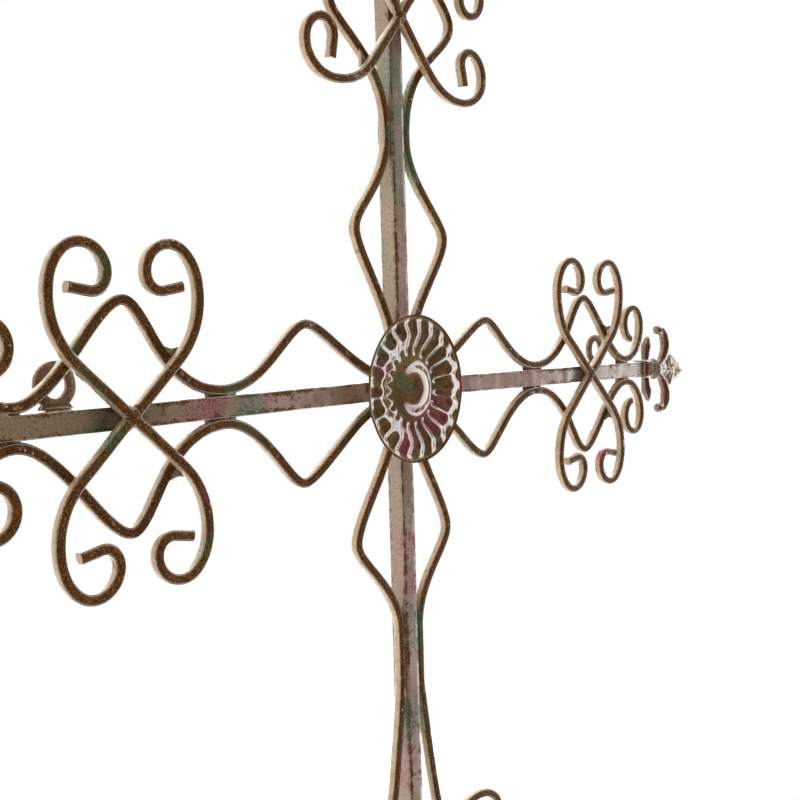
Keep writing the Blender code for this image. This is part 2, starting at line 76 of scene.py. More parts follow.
# Waves
SIDE_TOUCH = 160 * MM
TOP_TOUCH = 167 * MM
BOTTOM_TOUCH = 163 * MM
RIGHT_UPPER = (22 * MM, 95 * MM, 44.6 * MM)
RIGHT_LOWER = (17 * MM, 90.5 * MM, 52.3 * MM)
LEFT_UPPER = (18 * MM, 92 * MM, 45.3 * MM)
LEFT_LOWER = (20 * MM, 97 * MM, 51.2 * MM)
TOP_LEFT = (28 * MM, 105 * MM, 43 * MM)
TOP_RIGHT = (28 * MM, 100.5 * MM, 48.3 * MM)
BOTTOM_LEFT = (18 * MM, 97.5 * MM, 50 * MM)
BOTTOM_RIGHT = (18 * MM, 99 * MM, 43.8 * MM)
LEFT_WAVE_DRAW = 3.3 * MM
HUMP_RISE = 61.3 * MM
HUMP_PAST_CROSS = 4 * MM
LAST_TOUCH_PAST_CROSS = 71 * MM
CURL_REACH = 28.5 * MM
BAR_PAST_CURL = 4.5 * MM
BAR_PAST_CROSS = LAST_TOUCH_PAST_CROSS + CURL_REACH + BAR_PAST_CURL
CURL_SIDE_RISE = 28.5 * MM
CURL_TOP_RISE = 43.2 * MM
CURL_WIDTH = 27.5 * MM
CURL_INNER_RISE = 29.7 * MM
CURL_TAIL = (10.5 * MM, 13.0 * MM)
CURL_TAIL_SLOPE = math.radians(-10)
BOTTOM_LEG = 34 * MM
KNEE_BEFORE_CROSS = 50 * MM
KNEE_RISE = 27 * MM
KNEE_SLOPE = math.radians(22)

# Lengths of the curve handles, as shares of the way to the next point
BEGIN_EASE = 0.33
BULGE_EASE = 0.21
TOUCH_EASE_IN = 0.49
TOUCH_EASE_OUT = 0.66
HUMP_EASE = 0.24
LAST_TOUCH_EASE = 0.37
LEG_EASE = 0.1
KNEE_EASE = 0.25
SCROLL_EASE = 0.36
FOOT_EASE = 0.62
QUARTER = 0.5523

# Crossed scrolls
SCROLL_SLOPE = math.radians(41.3)
SCROLL_STRAIGHT = 43 * MM
SCROLL_SIDE = (48.4 * MM, 64.0 * MM)
SCROLL_TOP = (28.6 * MM, 90.3 * MM)
SCROLL_INNER = (12.6 * MM, 75.4 * MM)
SCROLL_FOOT = (24.0 * MM, 65.6 * MM)
SCROLL_TAIL = 13 * MM
SCROLL_TAIL_SLOPE = math.radians(10)

# Rosette: radii, and heights over the seat that stands on the bars
ROSETTE_RADIUS = 49 * MM
ROSETTE_LOBES = 20
LOBE_DEPTH = 1.6 * MM
GROOVE_START = 0.58
SHEET = 1.8 * MM
SEAT_HEIGHT = BAR + GAP
RIM_HEIGHT = 10.2 * MM
FLUTE_CROWN = (37 * MM, 11.4 * MM)
FLUTE_FOOT = (27.5 * MM, 7.4 * MM)
RIM_DIP = (46 * MM, 9.8 * MM)
VALLEY = (21 * MM, 5.9 * MM)
BOSS_TOP = 14.0 * MM
SEAT_RING = (14 * MM, 20 * MM)

# Finial, measured out from the end of its bar
FINIAL_MIDDLE = BAR / 2 + 0.65 * MM
FINIAL_VOXEL = 0.62 * MM
DROOP_FROM = 6 * MM
SADDLE_LENGTH = 14 * MM
SADDLE_WALL = 1.35 * MM
SADDLE_TOP = 3.5 * MM
SADDLE_OVERLAP = 4.5 * MM
SPINDLE_OUT = 11 * MM
SPINDLE_RADIUS = 3.5 * MM
SPINDLE_REACH = 29.5 * MM
SPINDLE_SPLAY = 5 * MM
COLLARS = ((22.2 * MM, 9.2 * MM), (26.2 * MM, 9.8 * MM), (30.8 * MM, 8.6 * MM))
PETAL_RADIUS = 3.5 * MM
PETAL_ROOT = (33 * MM, 4 * MM)
PETAL_SIDE = (48 * MM, 20.5 * MM)
PETAL_TOP = (37.5 * MM, 33.6 * MM)
PETAL_TIP = (34.5 * MM, 35 * MM)
KNOB_RADIUS = 4.4 * MM
SPEAR_RIDGE = 4.4 * MM
SPEAR_EDGE = 1.1 * MM
SPEAR_LENGTH = 80 * MM
SPEAR_HALF_OUTLINE = (
    (30 * MM, 3.6 * MM),
    (39 * MM, 4.2 * MM),
    (47 * MM, 7.0 * MM),
    (52.5 * MM, 10.6 * MM),
    (56 * MM, 14.2 * MM),
    (62 * MM, 12.6 * MM),
    (70 * MM, 8.6 * MM),
    (76 * MM, 4.6 * MM),
)

# Hanger tabs
TAB_OUT = 265.5 * MM
TAB_RADIUS = 12.4 * MM
TAB_HOLE = 6.8 * MM
TAB_THICKNESS = 3 * MM
TAB_LIFT = 12.5 * MM
TAB_CENTRE = BAR / 2 + TAB_LIFT
TAB_FOOT = 8.6 * MM


def arm_matrix(turn):
    """The frame of an arm: u out along it, v across, h off the wall."""
    u = Vector((math.cos(turn), 0.0, math.sin(turn)))
    v = Vector((-math.sin(turn), 0.0, math.cos(turn)))
    h = Vector((0.0, -1.0, 0.0))
    return Matrix((u, v, h)).transposed().to_4x4()


RIGHT = arm_matrix(-RIGHT_SAG)
TOP = arm_matrix(math.pi / 2)
LEFT = arm_matrix(math.pi + LEFT_SAG)
BOTTOM = arm_matrix(1.5 * math.pi)


# Paths

def knot(at, heading, reach_in, reach_out):
    """A Bezier point: its place and its two handles, along one heading."""
    at = np.array(at, float)
    along = np.array((math.cos(heading), math.sin(heading)))
    return at - along * reach_in, at, at + along * reach_out


def flipped(knots, across=1, along=1):
    """The knots mirrored over the arm's axis, or over the line across it."""
    return [tuple(p * (along, across) for p in three) for three in knots]


def turned_round(knots):
    """The knots in the opposite order."""
    return [(after, at, before) for before, at, after in reversed(knots)]


def moved(knots, out):
    """The knots moved out along the arm."""
    return [tuple(p + (out, 0.0) for p in three) for three in knots]


def path_points(knots, step):
    """Points evenly spaced along the Bezier through the knots."""
    t = np.linspace(0.0, 1.0, 60)[:, None]
    runs = []
    for (_, start, out), (into, end, _) in zip(knots, knots[1:]):
        run = start * (1 - t) ** 3 + 3 * out * t * (1 - t) ** 2 + 3 * into * t ** 2 * (1 - t) + end * t ** 3
        runs.append(run[:-1])
    runs.append(knots[-1][1][None, :])
    line = np.concatenate(runs)
    gaps = np.linalg.norm(np.diff(line, axis=0), axis=1)
    line = line[np.concatenate(([True], gaps > 1e-7))]
    along = np.concatenate(([0.0], np.cumsum(np.linalg.norm(np.diff(line, axis=0), axis=1))))
    count = max(4, round(along[-1] / step))
    even = np.linspace(0.0, along[-1], count + 1)
    return np.stack([np.interp(even, along, line[:, i]) for i in (0, 1)], axis=1)


def wave_curl(start, reach_in):
    """The curled end of a wave, from its last touch on the bar."""
    reach = (CURL_REACH * QUARTER, CURL_SIDE_RISE * QUARTER)
    top_u = start + CURL_REACH - CURL_WIDTH / 2
    inner_u = start + CURL_REACH - CURL_WIDTH
    upper = (CURL_TOP_RISE - CURL_SIDE_RISE) * QUARTER
    inner = (CURL_TOP_RISE - CURL_INNER_RISE) * QUARTER
    half = CURL_WIDTH / 2 * QUARTER
    tail_turn = math.pi / 2 + CURL_TAIL_SLOPE
    tail_reach = 4 / 3 * math.tan(tail_turn / 4) * math.hypot(*CURL_TAIL) / (2 * math.sin(tail_turn / 2))
    tail = (inner_u + CURL_TAIL[0], TOUCH + CURL_INNER_RISE - CURL_TAIL[1])
    return [
        knot((start, TOUCH), 0.0, reach_in, reach[0]),
        knot((start + CURL_REACH, TOUCH + CURL_SIDE_RISE), math.pi / 2, reach[1], upper),
        knot((top_u, TOUCH + CURL_TOP_RISE), math.pi, half, half),
        knot((inner_u, TOUCH + CURL_INNER_RISE), 1.5 * math.pi, inner, tail_reach),
        knot(tail, CURL_TAIL_SLOPE, tail_reach, 0.0),
    ]


def wave_knots(shape, touch, cross, leg=0.0, draw=0.0):
    """A wave bar: bulge, touch on the bar, hump behind the X, second touch, curl; a long arm adds a leg."""
    begin, bulge, bulge_rise = shape
    hump = cross + HUMP_PAST_CROSS - draw
    last = cross + LAST_TOUCH_PAST_CROSS - draw
    rise, fall, climb, drop = bulge - begin, touch - bulge, hump - touch, last - hump
    points = [
        knot((begin, TOUCH), 0.0, 0.0, BEGIN_EASE * rise),
        knot((bulge, bulge_rise), 0.0, BULGE_EASE * rise, BULGE_EASE * fall),
    ]
    if leg:
        knee = cross - KNEE_BEFORE_CROSS
        bend = hump - knee
        points += [
            knot((touch, TOUCH), 0.0, TOUCH_EASE_IN * fall, LEG_EASE * leg),
            knot((touch + leg, TOUCH), 0.0, LEG_EASE * leg, LEG_EASE * (knee - touch - leg)),
            knot((knee, KNEE_RISE), KNEE_SLOPE, KNEE_EASE * bend, KNEE_EASE * bend),
            knot((hump, HUMP_RISE), 0.0, 2 * KNEE_EASE * bend, HUMP_EASE * drop),
        ]
    else:
        points += [
            knot((touch, TOUCH), 0.0, TOUCH_EASE_IN * fall, TOUCH_EASE_OUT * climb),
            knot((hump, HUMP_RISE), 0.0, HUMP_EASE * climb, HUMP_EASE * drop),
        ]
    return points + wave_curl(last, LAST_TOUCH_EASE * drop)


def half_scroll_knots(start):
    """Half of an X bar, from a distance off its middle to the tail of its curl."""
    slope = SCROLL_SLOPE
    bend = (SCROLL_STRAIGHT * math.cos(slope), SCROLL_STRAIGHT * math.sin(slope))
    reach = math.dist(bend, SCROLL_SIDE) * SCROLL_EASE
    side_up = (SCROLL_TOP[1] - SCROLL_SIDE[1]) * QUARTER
    top_in = (SCROLL_SIDE[0] - SCROLL_TOP[0]) * QUARTER
    top_out = (SCROLL_TOP[0] - SCROLL_INNER[0]) * QUARTER
    inner_in = (SCROLL_TOP[1] - SCROLL_INNER[1]) * QUARTER
    inner_out = (SCROLL_INNER[1] - SCROLL_FOOT[1]) * FOOT_EASE
    tail = (SCROLL_FOOT[0] + SCROLL_TAIL * math.cos(SCROLL_TAIL_SLOPE),
            SCROLL_FOOT[1] + SCROLL_TAIL * math.sin(SCROLL_TAIL_SLOPE))
    return [
        knot((start * math.cos(slope), start * math.sin(slope)), slope, 0.0, 0.0),
        knot(bend, slope, 0.0, reach),
        knot(SCROLL_SIDE, math.pi / 2, reach, side_up),
        knot(SCROLL_TOP, math.pi, top_in, top_out),
        knot(SCROLL_INNER, 1.5 * math.pi, inner_in, inner_out),
        knot(SCROLL_FOOT, SCROLL_TAIL_SLOPE, inner_out, 0.0),
        knot(tail, SCROLL_TAIL_SLOPE, 0.0, 0.0),
    ]


# Mesh building. A shape is (points, faces, marks): marks are named numbers at each point for the paint.

def ripple(points, size, seed, waves=14):
    """Smooth seeded noise over points, about -1 to 1, with bumps of about this size."""
    rng = np.random.default_rng(seed)
    headings = rng.normal(size=(waves, points.shape[1]))
    headings /= np.linalg.norm(headings, axis=1)[:, None]
    turns = 2 * math.pi / (size * rng.uniform(0.8, 2.2, waves))
    shift = rng.uniform(0, 2 * math.pi, waves)
    return np.sin(points @ (headings * turns[:, None]).T + shift).sum(axis=1) / math.sqrt(waves)


def square_section(half, rounding):
    """A square section with round corners, anticlockwise: its points, and how near each is to a corner."""
    flat = half - rounding
    points, near = [], []
    for quarter in range(4):
        turn = quarter * math.pi / 2
        for step in range(CORNER_POINTS):
            angle = turn + math.pi / 2 * step / (CORNER_POINTS - 1)
            corner = turn + math.pi / 4
            reach = flat * math.sqrt(2)
            points.append((reach * math.cos(corner) + rounding * math.cos(angle),
                           reach * math.sin(corner) + rounding * math.sin(angle)))
            near.append(1.0)
        for step in range(1, SIDE_POINTS + 1):
            share = step / (SIDE_POINTS + 1)
            place = flat - 2 * flat * share
            along = turn + math.pi / 2
            points.append((half * math.cos(along) - place * math.cos(turn + math.pi) * 1.0,
                           half * math.sin(along) - place * math.sin(turn + math.pi) * 1.0))
            near.append(max(0.0, 1.0 - min(share, 1 - share) * 4.0))
    return np.array(points), np.array(near)


def ring_faces(rings, around):
    """Quads between neighbouring rings of points."""
    i, j = np.meshgrid(np.arange(rings - 1), np.arange(around), indexing="ij")
    k = (j + 1) % around
    return np.stack((i * around + j, i * around + k, (i + 1) * around + k, (i + 1) * around + j), axis=2).reshape(-1, 4)


def end_rings(rounding):
    """Distances in from a cut end, and how far the section is drawn in there, for an eased end."""
    return ((0.0, 1.0), (0.3 * rounding, 0.3), (rounding, 0.0))


def swept(line, height, half, rounding, seed, wander=0.10 * MM):
    """A square bar along a line in the arm's plane, hand-bent: slightly uneven, with eased ends."""
    section, near = square_section(half, rounding)
    steps = np.linalg.norm(np.diff(line, axis=0), axis=1)
    along = np.concatenate(([0.0], np.cumsum(steps)))
    tangent = np.gradient(line, along, axis=0)
    tangent /= np.linalg.norm(tangent, axis=1)[:, None]
    eased = end_rings(END_ROUND)
    inside = (along > END_ROUND * 1.6) & (along < along[-1] - END_ROUND * 1.6)
    places = [(a, s) for a, s in eased] + [(a, 0.0) for a in along[inside]]
    places += [(along[-1] - a, s) for a, s in reversed(eased)]
    at = np.array([p[0] for p in places])
    drawn = np.array([p[1] for p in places]) * END_ROUND
    centre = np.stack([np.interp(at, along, line[:, i]) for i in (0, 1)], axis=1)
    ahead = np.stack([np.interp(at, along, tangent[:, i]) for i in (0, 1)], axis=1)
    ahead /= np.linalg.norm(ahead, axis=1)[:, None]
    side = np.stack((-ahead[:, 1], ahead[:, 0]), axis=1)
    track = at[:, None]
    shift_a = wander * ripple(track, 38 * MM, seed)
    shift_b = 0.6 * wander * ripple(track, 45 * MM, seed + 1)
    twist = 0.012 * ripple(track, 70 * MM, seed + 2)
    swell = 1.0 + 0.008 * ripple(track, 12 * MM, seed + 3)
    scale = (half - drawn) / half * swell
    a = section[None, :, 0] * scale[:, None]
    b = section[None, :, 1] * scale[:, None]
    a, b = a - twist[:, None] * b, b + twist[:, None] * a
    a = a + shift_a[:, None]
    b = b + shift_b[:, None]
    points = np.empty((len(at), len(section), 3))
    points[:, :, :2] = centre[:, None, :] + side[:, None, :] * a[:, :, None]
    points[:, :, 2] = height + b
    flat = points.reshape(-1, 3)
    around = len(section)
    faces = [tuple(f) for f in ring_faces(len(at), around)]
    last = (len(at) - 1) * around
    extra = []
    for start, order in ((0, 1), (last, -1)):
        rim = flat[start:start + around]
        middle = rim.mean(axis=0)
        base = len(flat) + len(extra)
        extra.extend(middle + (rim - middle) * 0.5)
        extra.append(middle)
        for j in range(around):
            k = (j + 1) % around
            if order > 0:
                faces.append((start + k, start + j, base + j, base + k))
                faces.append((base + k, base + j, base + around))
            else:
                faces.append((start + j, start + k, base + k, base + j))
                faces.append((base + j, base + k, base + around))
    marks = np.tile(near, len(at))
    cut = np.array([1.0 if s > 0 else 0.0 for _, s in places])
    edge = np.maximum(marks, np.repeat(cut, around))
    edge = np.concatenate((edge, np.full(len(extra), 0.25)))
    return np.concatenate((flat, np.array(extra))), faces, {"edge": edge}


def lump(centre, sizes, turn=0.0, seed=0, rough=0.16, rings=(14, 10)):
    """An uneven rounded blob of weld metal in an arm's frame."""
    across, down = rings
    points, faces = [(0.0, 0.0, 1.0)], []
    for i in range(1, down):
        polar = math.pi * i / down
        for j in range(across):
            angle = 2 * math.pi * j / across
            points.append((math.sin(polar) * math.cos(angle), math.sin(polar) * math.sin(angle), math.cos(polar)))
    points.append((0.0, 0.0, -1.0))
    last = len(points) - 1
    for j in range(across):
        k = (j + 1) % across
        faces.append((0, 1 + j, 1 + k))
        faces.append((last, last - across + k, last - across + j))
        for i in range(down - 2):
            row = 1 + i * across
            faces.append((row + j, row + across + j, row + across + k, row + k))
    ball = np.array(points)
    ball = ball * (1.0 + rough * ripple(ball, 0.9, seed))[:, None] * np.array(sizes)
    cos, sin = math.cos(turn), math.sin(turn)
    spun = np.stack((ball[:, 0] * cos - ball[:, 1] * sin, ball[:, 0] * sin + ball[:, 1] * cos, ball[:, 2]), axis=1)
    return spun + np.array(centre), faces, {"weld": np.ones(len(ball))}


def joined(shapes):
    """Several shapes as one, with the marks that any of them has."""
    names = {name for _, _, marks in shapes for name in marks}
    points, faces, marks, base = [], [], {name: [] for name in names}, 0
    for spots, quads, found in shapes:
        points.append(spots)
        faces += [tuple(int(i) + base for i in face) for face in quads]
        for name in names:
            marks[name].append(found.get(name, np.zeros(len(spots))))
        base += len(spots)
    return np.concatenate(points), faces, {name: np.concatenate(parts) for name, parts in marks.items()}


def placed(shape, matrix):
    """The shape moved by a matrix."""
    points, faces, marks = shape
    turn = np.array(matrix.to_3x3())
    return points @ turn.T + np.array(matrix.translation), faces, marks


def mesh_of(name, shape, smooth=True):
    """A mesh datablock of a shape, with its marks as attributes."""
    points, faces, marks = shape
    mesh = bpy.data.meshes.new(name)
    mesh.from_pydata(points.tolist(), [], faces)
    for mark, values in marks.items():
        layer = mesh.attributes.new(mark, "FLOAT", "POINT")
        layer.data.foreach_set("value", np.ascontiguousarray(values, dtype=np.float32))
    if smooth:
        mesh.shade_smooth()
    return mesh


def piece(node, shape, material, matrix=None):
    """A finished piece: its mesh in place, its paint, and the node of the frame that it stands for."""
    if matrix is not None:
        shape = placed(shape, matrix)
    mesh = mesh_of(node + "_look", shape)
    mesh.materials.append(material)
    made = bpy.data.objects.new(node + "_look", mesh)
    bpy.context.scene.collection.objects.link(made)
    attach(made, "root")
    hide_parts(node)
    return made


def bent_marks(mesh, rounds=2):
    """How sharply the surface bends out (edge) or in (groove) at each point of a mesh, as marks; the paint darkens the
    grooves as painted shade.
    """
    count = len(mesh.vertices)
    spots = np.empty(count * 3, np.float32)
    normals = np.empty(count * 3, np.float32)
    mesh.vertices.foreach_get("co", spots)
    mesh.vertex_normals.foreach_get("vector", normals)
    ends = np.empty(len(mesh.edges) * 2, np.int32)
    mesh.edges.foreach_get("vertices", ends)
    spots, normals, ends = spots.reshape(-1, 3).astype(float), normals.reshape(-1, 3), ends.reshape(-1, 2)
    a, b = ends[:, 0], ends[:, 1]
    degree = np.bincount(ends.ravel(), minlength=count)[:, None]

    def neighbours(values):
        total = np.zeros_like(values)
        for axis in range(values.shape[1]):
            total[:, axis] = np.bincount(a, values[b, axis], count) + np.bincount(b, values[a, axis], count)
        return total / np.maximum(degree, 1)

    pull = ((neighbours(spots) - spots) * normals).sum(axis=1)[:, None]
    for _ in range(rounds):
        pull = (pull + neighbours(pull)) / 2
    pull = pull[:, 0]
    reach = np.percentile(np.abs(pull), 93)
    return {"edge": np.clip(-pull / reach, 0, 1), "groove": np.clip(pull / reach, 0, 1)}


# Paint

def put(tree, kind, *inputs, out=0, named=None, **settings):
    """A shader node with its settings and inputs in order; returns one of its outputs."""
    made = tree.nodes.new("ShaderNode" + kind)
    for name, value in settings.items():
        setattr(made, name, value)
    pairs = list(zip(made.inputs, inputs)) + [(made.inputs[name], value) for name, value in (named or {}).items()]
    for socket, value in pairs:
        if isinstance(value, bpy.types.NodeSocket):
            tree.links.new(value, socket)
        elif value is not None:
            socket.default_value = value
    return made.outputs[out]


def speck(tree, where, scale, detail=2.0, rough=0.55, shift=0.0):
    """Noise of this many bumps a metre, 0 to 1, centred on 0.5."""
    moved_by = put(tree, "VectorMath", where, (shift, shift * 0.7, -shift), operation="ADD")
    return put(tree, "TexNoise", moved_by, None, scale, detail, rough)


def step_up(tree, value, low, high):
    """0 below the low value, 1 above the high one, and smooth between."""
    return put(tree, "MapRange", value, low, high, 0.0, 1.0, interpolation_type="SMOOTHSTEP")


def times(tree, a, b):
    return put(tree, "Math", a, b, operation="MULTIPLY")


def plus(tree, a, b):
    return put(tree, "Math", a, b, operation="ADD")


def mixed(tree, share, under, over):
    """One colour laid over another by a share."""
    return put(tree, "Mix", share, None, None, None, None, None, under, over, out=2, data_type="RGBA")


def mark(tree, name):
    return put(tree, "Attribute", out=2, attribute_name=name)


def colour(red, green, blue):
    return (red, green, blue, 1.0)


TAUPE = colour(0.41, 0.28, 0.165)
TAUPE_LIGHT = colour(0.52, 0.39, 0.235)
TAUPE_DARK = colour(0.25, 0.160, 0.09)
OLIVE = colour(0.27, 0.215, 0.115)
# Bars' front tone right of the left arm: the paint's pinkish tone, lightened as painted reflection.
MAUVE_WITH_REFLECTION = colour(0.50, 0.345, 0.315)
TAUPE_MIDDLE = colour(0.33, 0.22, 0.145)
UMBER = colour(0.17, 0.085, 0.025)
FAWN = colour(0.37, 0.25, 0.11)
BROWN = colour(0.105, 0.039, 0.011)
OCHRE = colour(0.21, 0.088, 0.020)
BROWN_DEEP = colour(0.036, 0.014, 0.006)
GOLD = colour(0.44, 0.25, 0.085)
GREEN = colour(0.050, 0.17, 0.088)
CRIMSON = colour(0.34, 0.035, 0.10)
WELD_GREY = colour(0.46, 0.38, 0.25)
RED_BROWN = colour(0.125, 0.040, 0.022)


# Where patina gathers: x, z and reach of each patch
VERDIGRIS = (
    (-0.258, 0.0, 0.024),
    (-0.240, 0.079, 0.012),
    (-0.181, 0.068, 0.016),
    (-0.212, 0.046, 0.014),
    (-0.244, -0.013, 0.009),
    (-0.173, 0.004, 0.010),
    (-0.012, 0.006, 0.017),
    (0.017, 0.016, 0.011),
    (-0.022, -0.031, 0.012),
    (0.004, -0.088, 0.013),
    (-0.024, -0.084, 0.012),
    (0.018, 0.095, 0.010),
    (0.216, 0.036, 0.012),
    (0.345, 0.030, 0.020),
    (0.022, 0.262, 0.014),
    (-0.040, -0.236, 0.014),
    (-0.138, 0.004, 0.018),
    (0.0, 0.215, 0.045),
    (0.0, 0.150, 0.035),
    (-0.028, 0.032, 0.012),
    (-0.013, 0.004, 0.010),
    (0.0, -0.245, 0.045),
    (0.0, -0.165, 0.020),
)
BLUSHES = (
    (0.092, 0.0, 0.042),
    (-0.158, 0.002, 0.018),
    (0.017, -0.019, 0.016),
    (-0.030, 0.014, 0.009),
    (0.012, -0.130, 0.030),
    (0.006, 0.052, 0.014),
    (-0.196, 0.030, 0.010),
    (0.205, 0.070, 0.012),
    (-0.060, -0.004, 0.012),
    (-0.125, 0.0, 0.022),
    (0.145, 0.002, 0.028),
    (-0.010, -0.034, 0.014),
    (0.0, 0.135, 0.040),
    (0.0, -0.200, 0.050),
    (0.0, -0.265, 0.040),
    (-0.180, 0.0, 0.020),
    (0.060, 0.0, 0.020),
)


def patina(tree, where, patches):
    """A raised chance of patina, up to about 0.2, around each patch."""
    flat = put(tree, "VectorMath", where, (1.0, 0.0, 1.0), operation="MULTIPLY")
    total = None
    for x, z, size in patches:
        away = put(tree, "VectorMath", flat, (x, 0.0, z), out=1, operation="DISTANCE")
        near = put(tree, "MapRange", away, 0.0, 1.5 * size, 0.19, 0.0, interpolation_type="SMOOTHSTEP")
        total = near if total is None else plus(tree, total, near)
    return total


def worn_paint_with_painted_shade(name, base, left, right, rub, front_shade_and_rub, edge_rub, green=0.5, crimson=0.5, rough=0.36,
               bump=0.12 * MM, coat=0.35, coat_rough=0.2, sheen=0.15, coat_bend=1.5,
               worn_coat=0.3):
    """Aged paint over iron: a mottled coat, dark on the front and back faces, as rubbed wear and painted shade, and
    where the edges are rubbed through, with golden flecks there and clusters of verdigris and red specks over all;
    painted shade darkens the grooves, and the bars' front tone is partly painted reflection."""
    made = bpy.data.materials.new(name)
    made.use_nodes = True
    tree = made.node_tree
    shader = tree.nodes["Principled BSDF"]
    coords = tree.nodes.new("ShaderNodeTexCoord")
    where = coords.outputs["Object"]
    facing = put(tree, "SeparateXYZ", coords.outputs["Normal"], out=1)
    front = step_up(tree, times(tree, facing, -1.0), 0.30, 0.70)

    broad = speck(tree, where, 34.0, 3.0, 0.55, 1.3)
    patchy = speck(tree, where, 150.0, 4.0, 0.65, 4.1)
    fine = speck(tree, where, 620.0, 4.0, 0.75, 2.2)
    grain = speck(tree, where, 1100.0, 2.0, 0.7, 7.7)

    # Front faces right of x = -0.12 m and below z = 0.12 m take the right-hand tone; on the bars this lighter mauve is
    # partly the paint's own tone and partly painted reflection.
    sideways = put(tree, "SeparateXYZ", where, out=0)
    upward = put(tree, "SeparateXYZ", where, out=2)
    place = times(tree, step_up(tree, sideways, -0.24, -0.12), step_up(tree, times(tree, upward, -1.0), -0.30, -0.12))
    tone_and_reflection = mixed(tree, times(tree, place, front), left, right)
    mottle = plus(tree, times(tree, broad, 0.45), times(tree, fine, 0.55))
    coating = mixed(tree, step_up(tree, mottle, 0.44, 0.56), base, tone_and_reflection)
    coating = mixed(tree, times(tree, step_up(tree, patchy, 0.50, 0.68), 0.6), coating, TAUPE_DARK)
    coating = mixed(tree, times(tree, step_up(tree, fine, 0.54, 0.64), 0.6), coating, BROWN)

    # Front and back faces join the rubbed mask: partly rubbed wear, partly painted shade that makes them darker than
    # the sides.
    flat = plus(tree, front, step_up(tree, facing, 0.30, 0.70))
    wear_and_front_shade = plus(tree, times(tree, flat, front_shade_and_rub), times(tree, mark(tree, "edge"), edge_rub))
    wear_and_front_shade = plus(tree, wear_and_front_shade, times(tree, mark(tree, "rub"), 0.9))
    wear_and_front_shade = plus(tree, wear_and_front_shade, times(tree, plus(tree, patchy, -0.5), 1.8))
    wear_and_front_shade = plus(tree, wear_and_front_shade, times(tree, plus(tree, broad, -0.5), 1.2))
    wear_and_front_shade = plus(tree, wear_and_front_shade, times(tree, plus(tree, fine, -0.5), 1.6))
    wear_and_front_shade = step_up(tree, wear_and_front_shade, 0.32, 0.60)
    # The dark rubbed-metal colour, which also stands as painted shade on the front and back faces.
    dark = mixed(tree, times(tree, step_up(tree, patchy, 0.40, 0.64), 0.6), rub, BROWN_DEEP)
    flecks = times(tree, step_up(tree, grain, 0.53, 0.63), step_up(tree, broad, 0.30, 0.62))
    scorched = plus(tree, times(tree, patchy, 0.6), times(tree, fine, 0.4))
    dark = mixed(tree, times(tree, step_up(tree, scorched, 0.51, 0.58), 0.45), dark, OCHRE)
    dark = mixed(tree, times(tree, flecks, 0.75), dark, GOLD)
    surface = mixed(tree, wear_and_front_shade, coating, dark)

    # Painted shade: darker in the grooves and hollows picked out by the groove mark.
    surface = mixed(tree, times(tree, mark(tree, "groove"), 0.45), surface, BROWN_DEEP)
    surface = mixed(tree, times(tree, mark(tree, "weld"), 0.85), surface, WELD_GREY)

    green_area = plus(tree, speck(tree, where, 19.0, 2.0, 0.5, 3.7), times(tree, mark(tree, "edge"), 0.04))
    green_area = plus(tree, green_area, times(tree, mark(tree, "weld"), -0.05))
    green_area = plus(tree, green_area, times(tree, patina(tree, where, VERDIGRIS), 0.5 + 0.5 * green))
    green_area = step_up(tree, green_area, 0.67 - 0.07 * green, 0.78)
    green_spots = plus(tree, speck(tree, where, 700.0, 3.0, 0.7, 5.5), times(tree, green_area, 0.11))
    green_spots = times(tree, step_up(tree, green_spots, 0.56, 0.64), step_up(tree, green_area, 0.0, 0.25))
    surface = mixed(tree, times(tree, green_spots, 0.8), surface, GREEN)
    red_area = plus(tree, speck(tree, where, 17.0, 2.0, 0.5, 31.0),
                    times(tree, patina(tree, where, BLUSHES), 0.4 + 0.6 * crimson))
    red_area = step_up(tree, red_area, 0.68 - 0.07 * crimson, 0.80)
    red_spots = plus(tree, speck(tree, where, 800.0, 3.0, 0.7, 9.1), times(tree, red_area, 0.12))
    red_spots = times(tree, step_up(tree, red_spots, 0.57, 0.64), step_up(tree, red_area, 0.0, 0.25))
    surface = mixed(tree, times(tree, red_spots, 0.85), surface, CRIMSON)

    gloss = put(tree, "MapRange", patchy, 0.3, 0.7, rough - 0.05, rough + 0.14)
    gloss = plus(tree, gloss, times(tree, plus(tree, fine, -0.5), 0.3))
    relief = plus(tree, times(tree, patchy, 1.1), times(tree, fine, 0.7))
    relief = plus(tree, relief, times(tree, wear_and_front_shade, -0.35))
    bumped = put(tree, "Bump", named={"Strength": 0.6, "Distance": bump, "Height": relief})

    tree.links.new(surface, shader.inputs["Base Color"])
    tree.links.new(gloss, shader.inputs["Roughness"])
    tree.links.new(bumped, shader.inputs["Normal"])
    level = step_up(tree, times(tree, facing, -1.0), 0.86, 0.975)
    dulled = plus(tree, times(tree, times(tree, wear_and_front_shade, level), 1 - worn_coat), mark(tree, "dull"))
    kept = put(tree, "MapRange", dulled, 0.0, 1.0, coat, 0.0)
    tree.links.new(kept, shader.inputs["Coat Weight"])
    shine = put(tree, "MapRange", wear_and_front_shade, 0.0, 1.0, sheen, 0.3 * sheen)
    tree.links.new(shine, shader.inputs["Specular IOR Level"])
    shader.inputs["Coat IOR"].default_value = coat_bend
    shader.inputs["Coat Roughness"].default_value = coat_rough
    return made


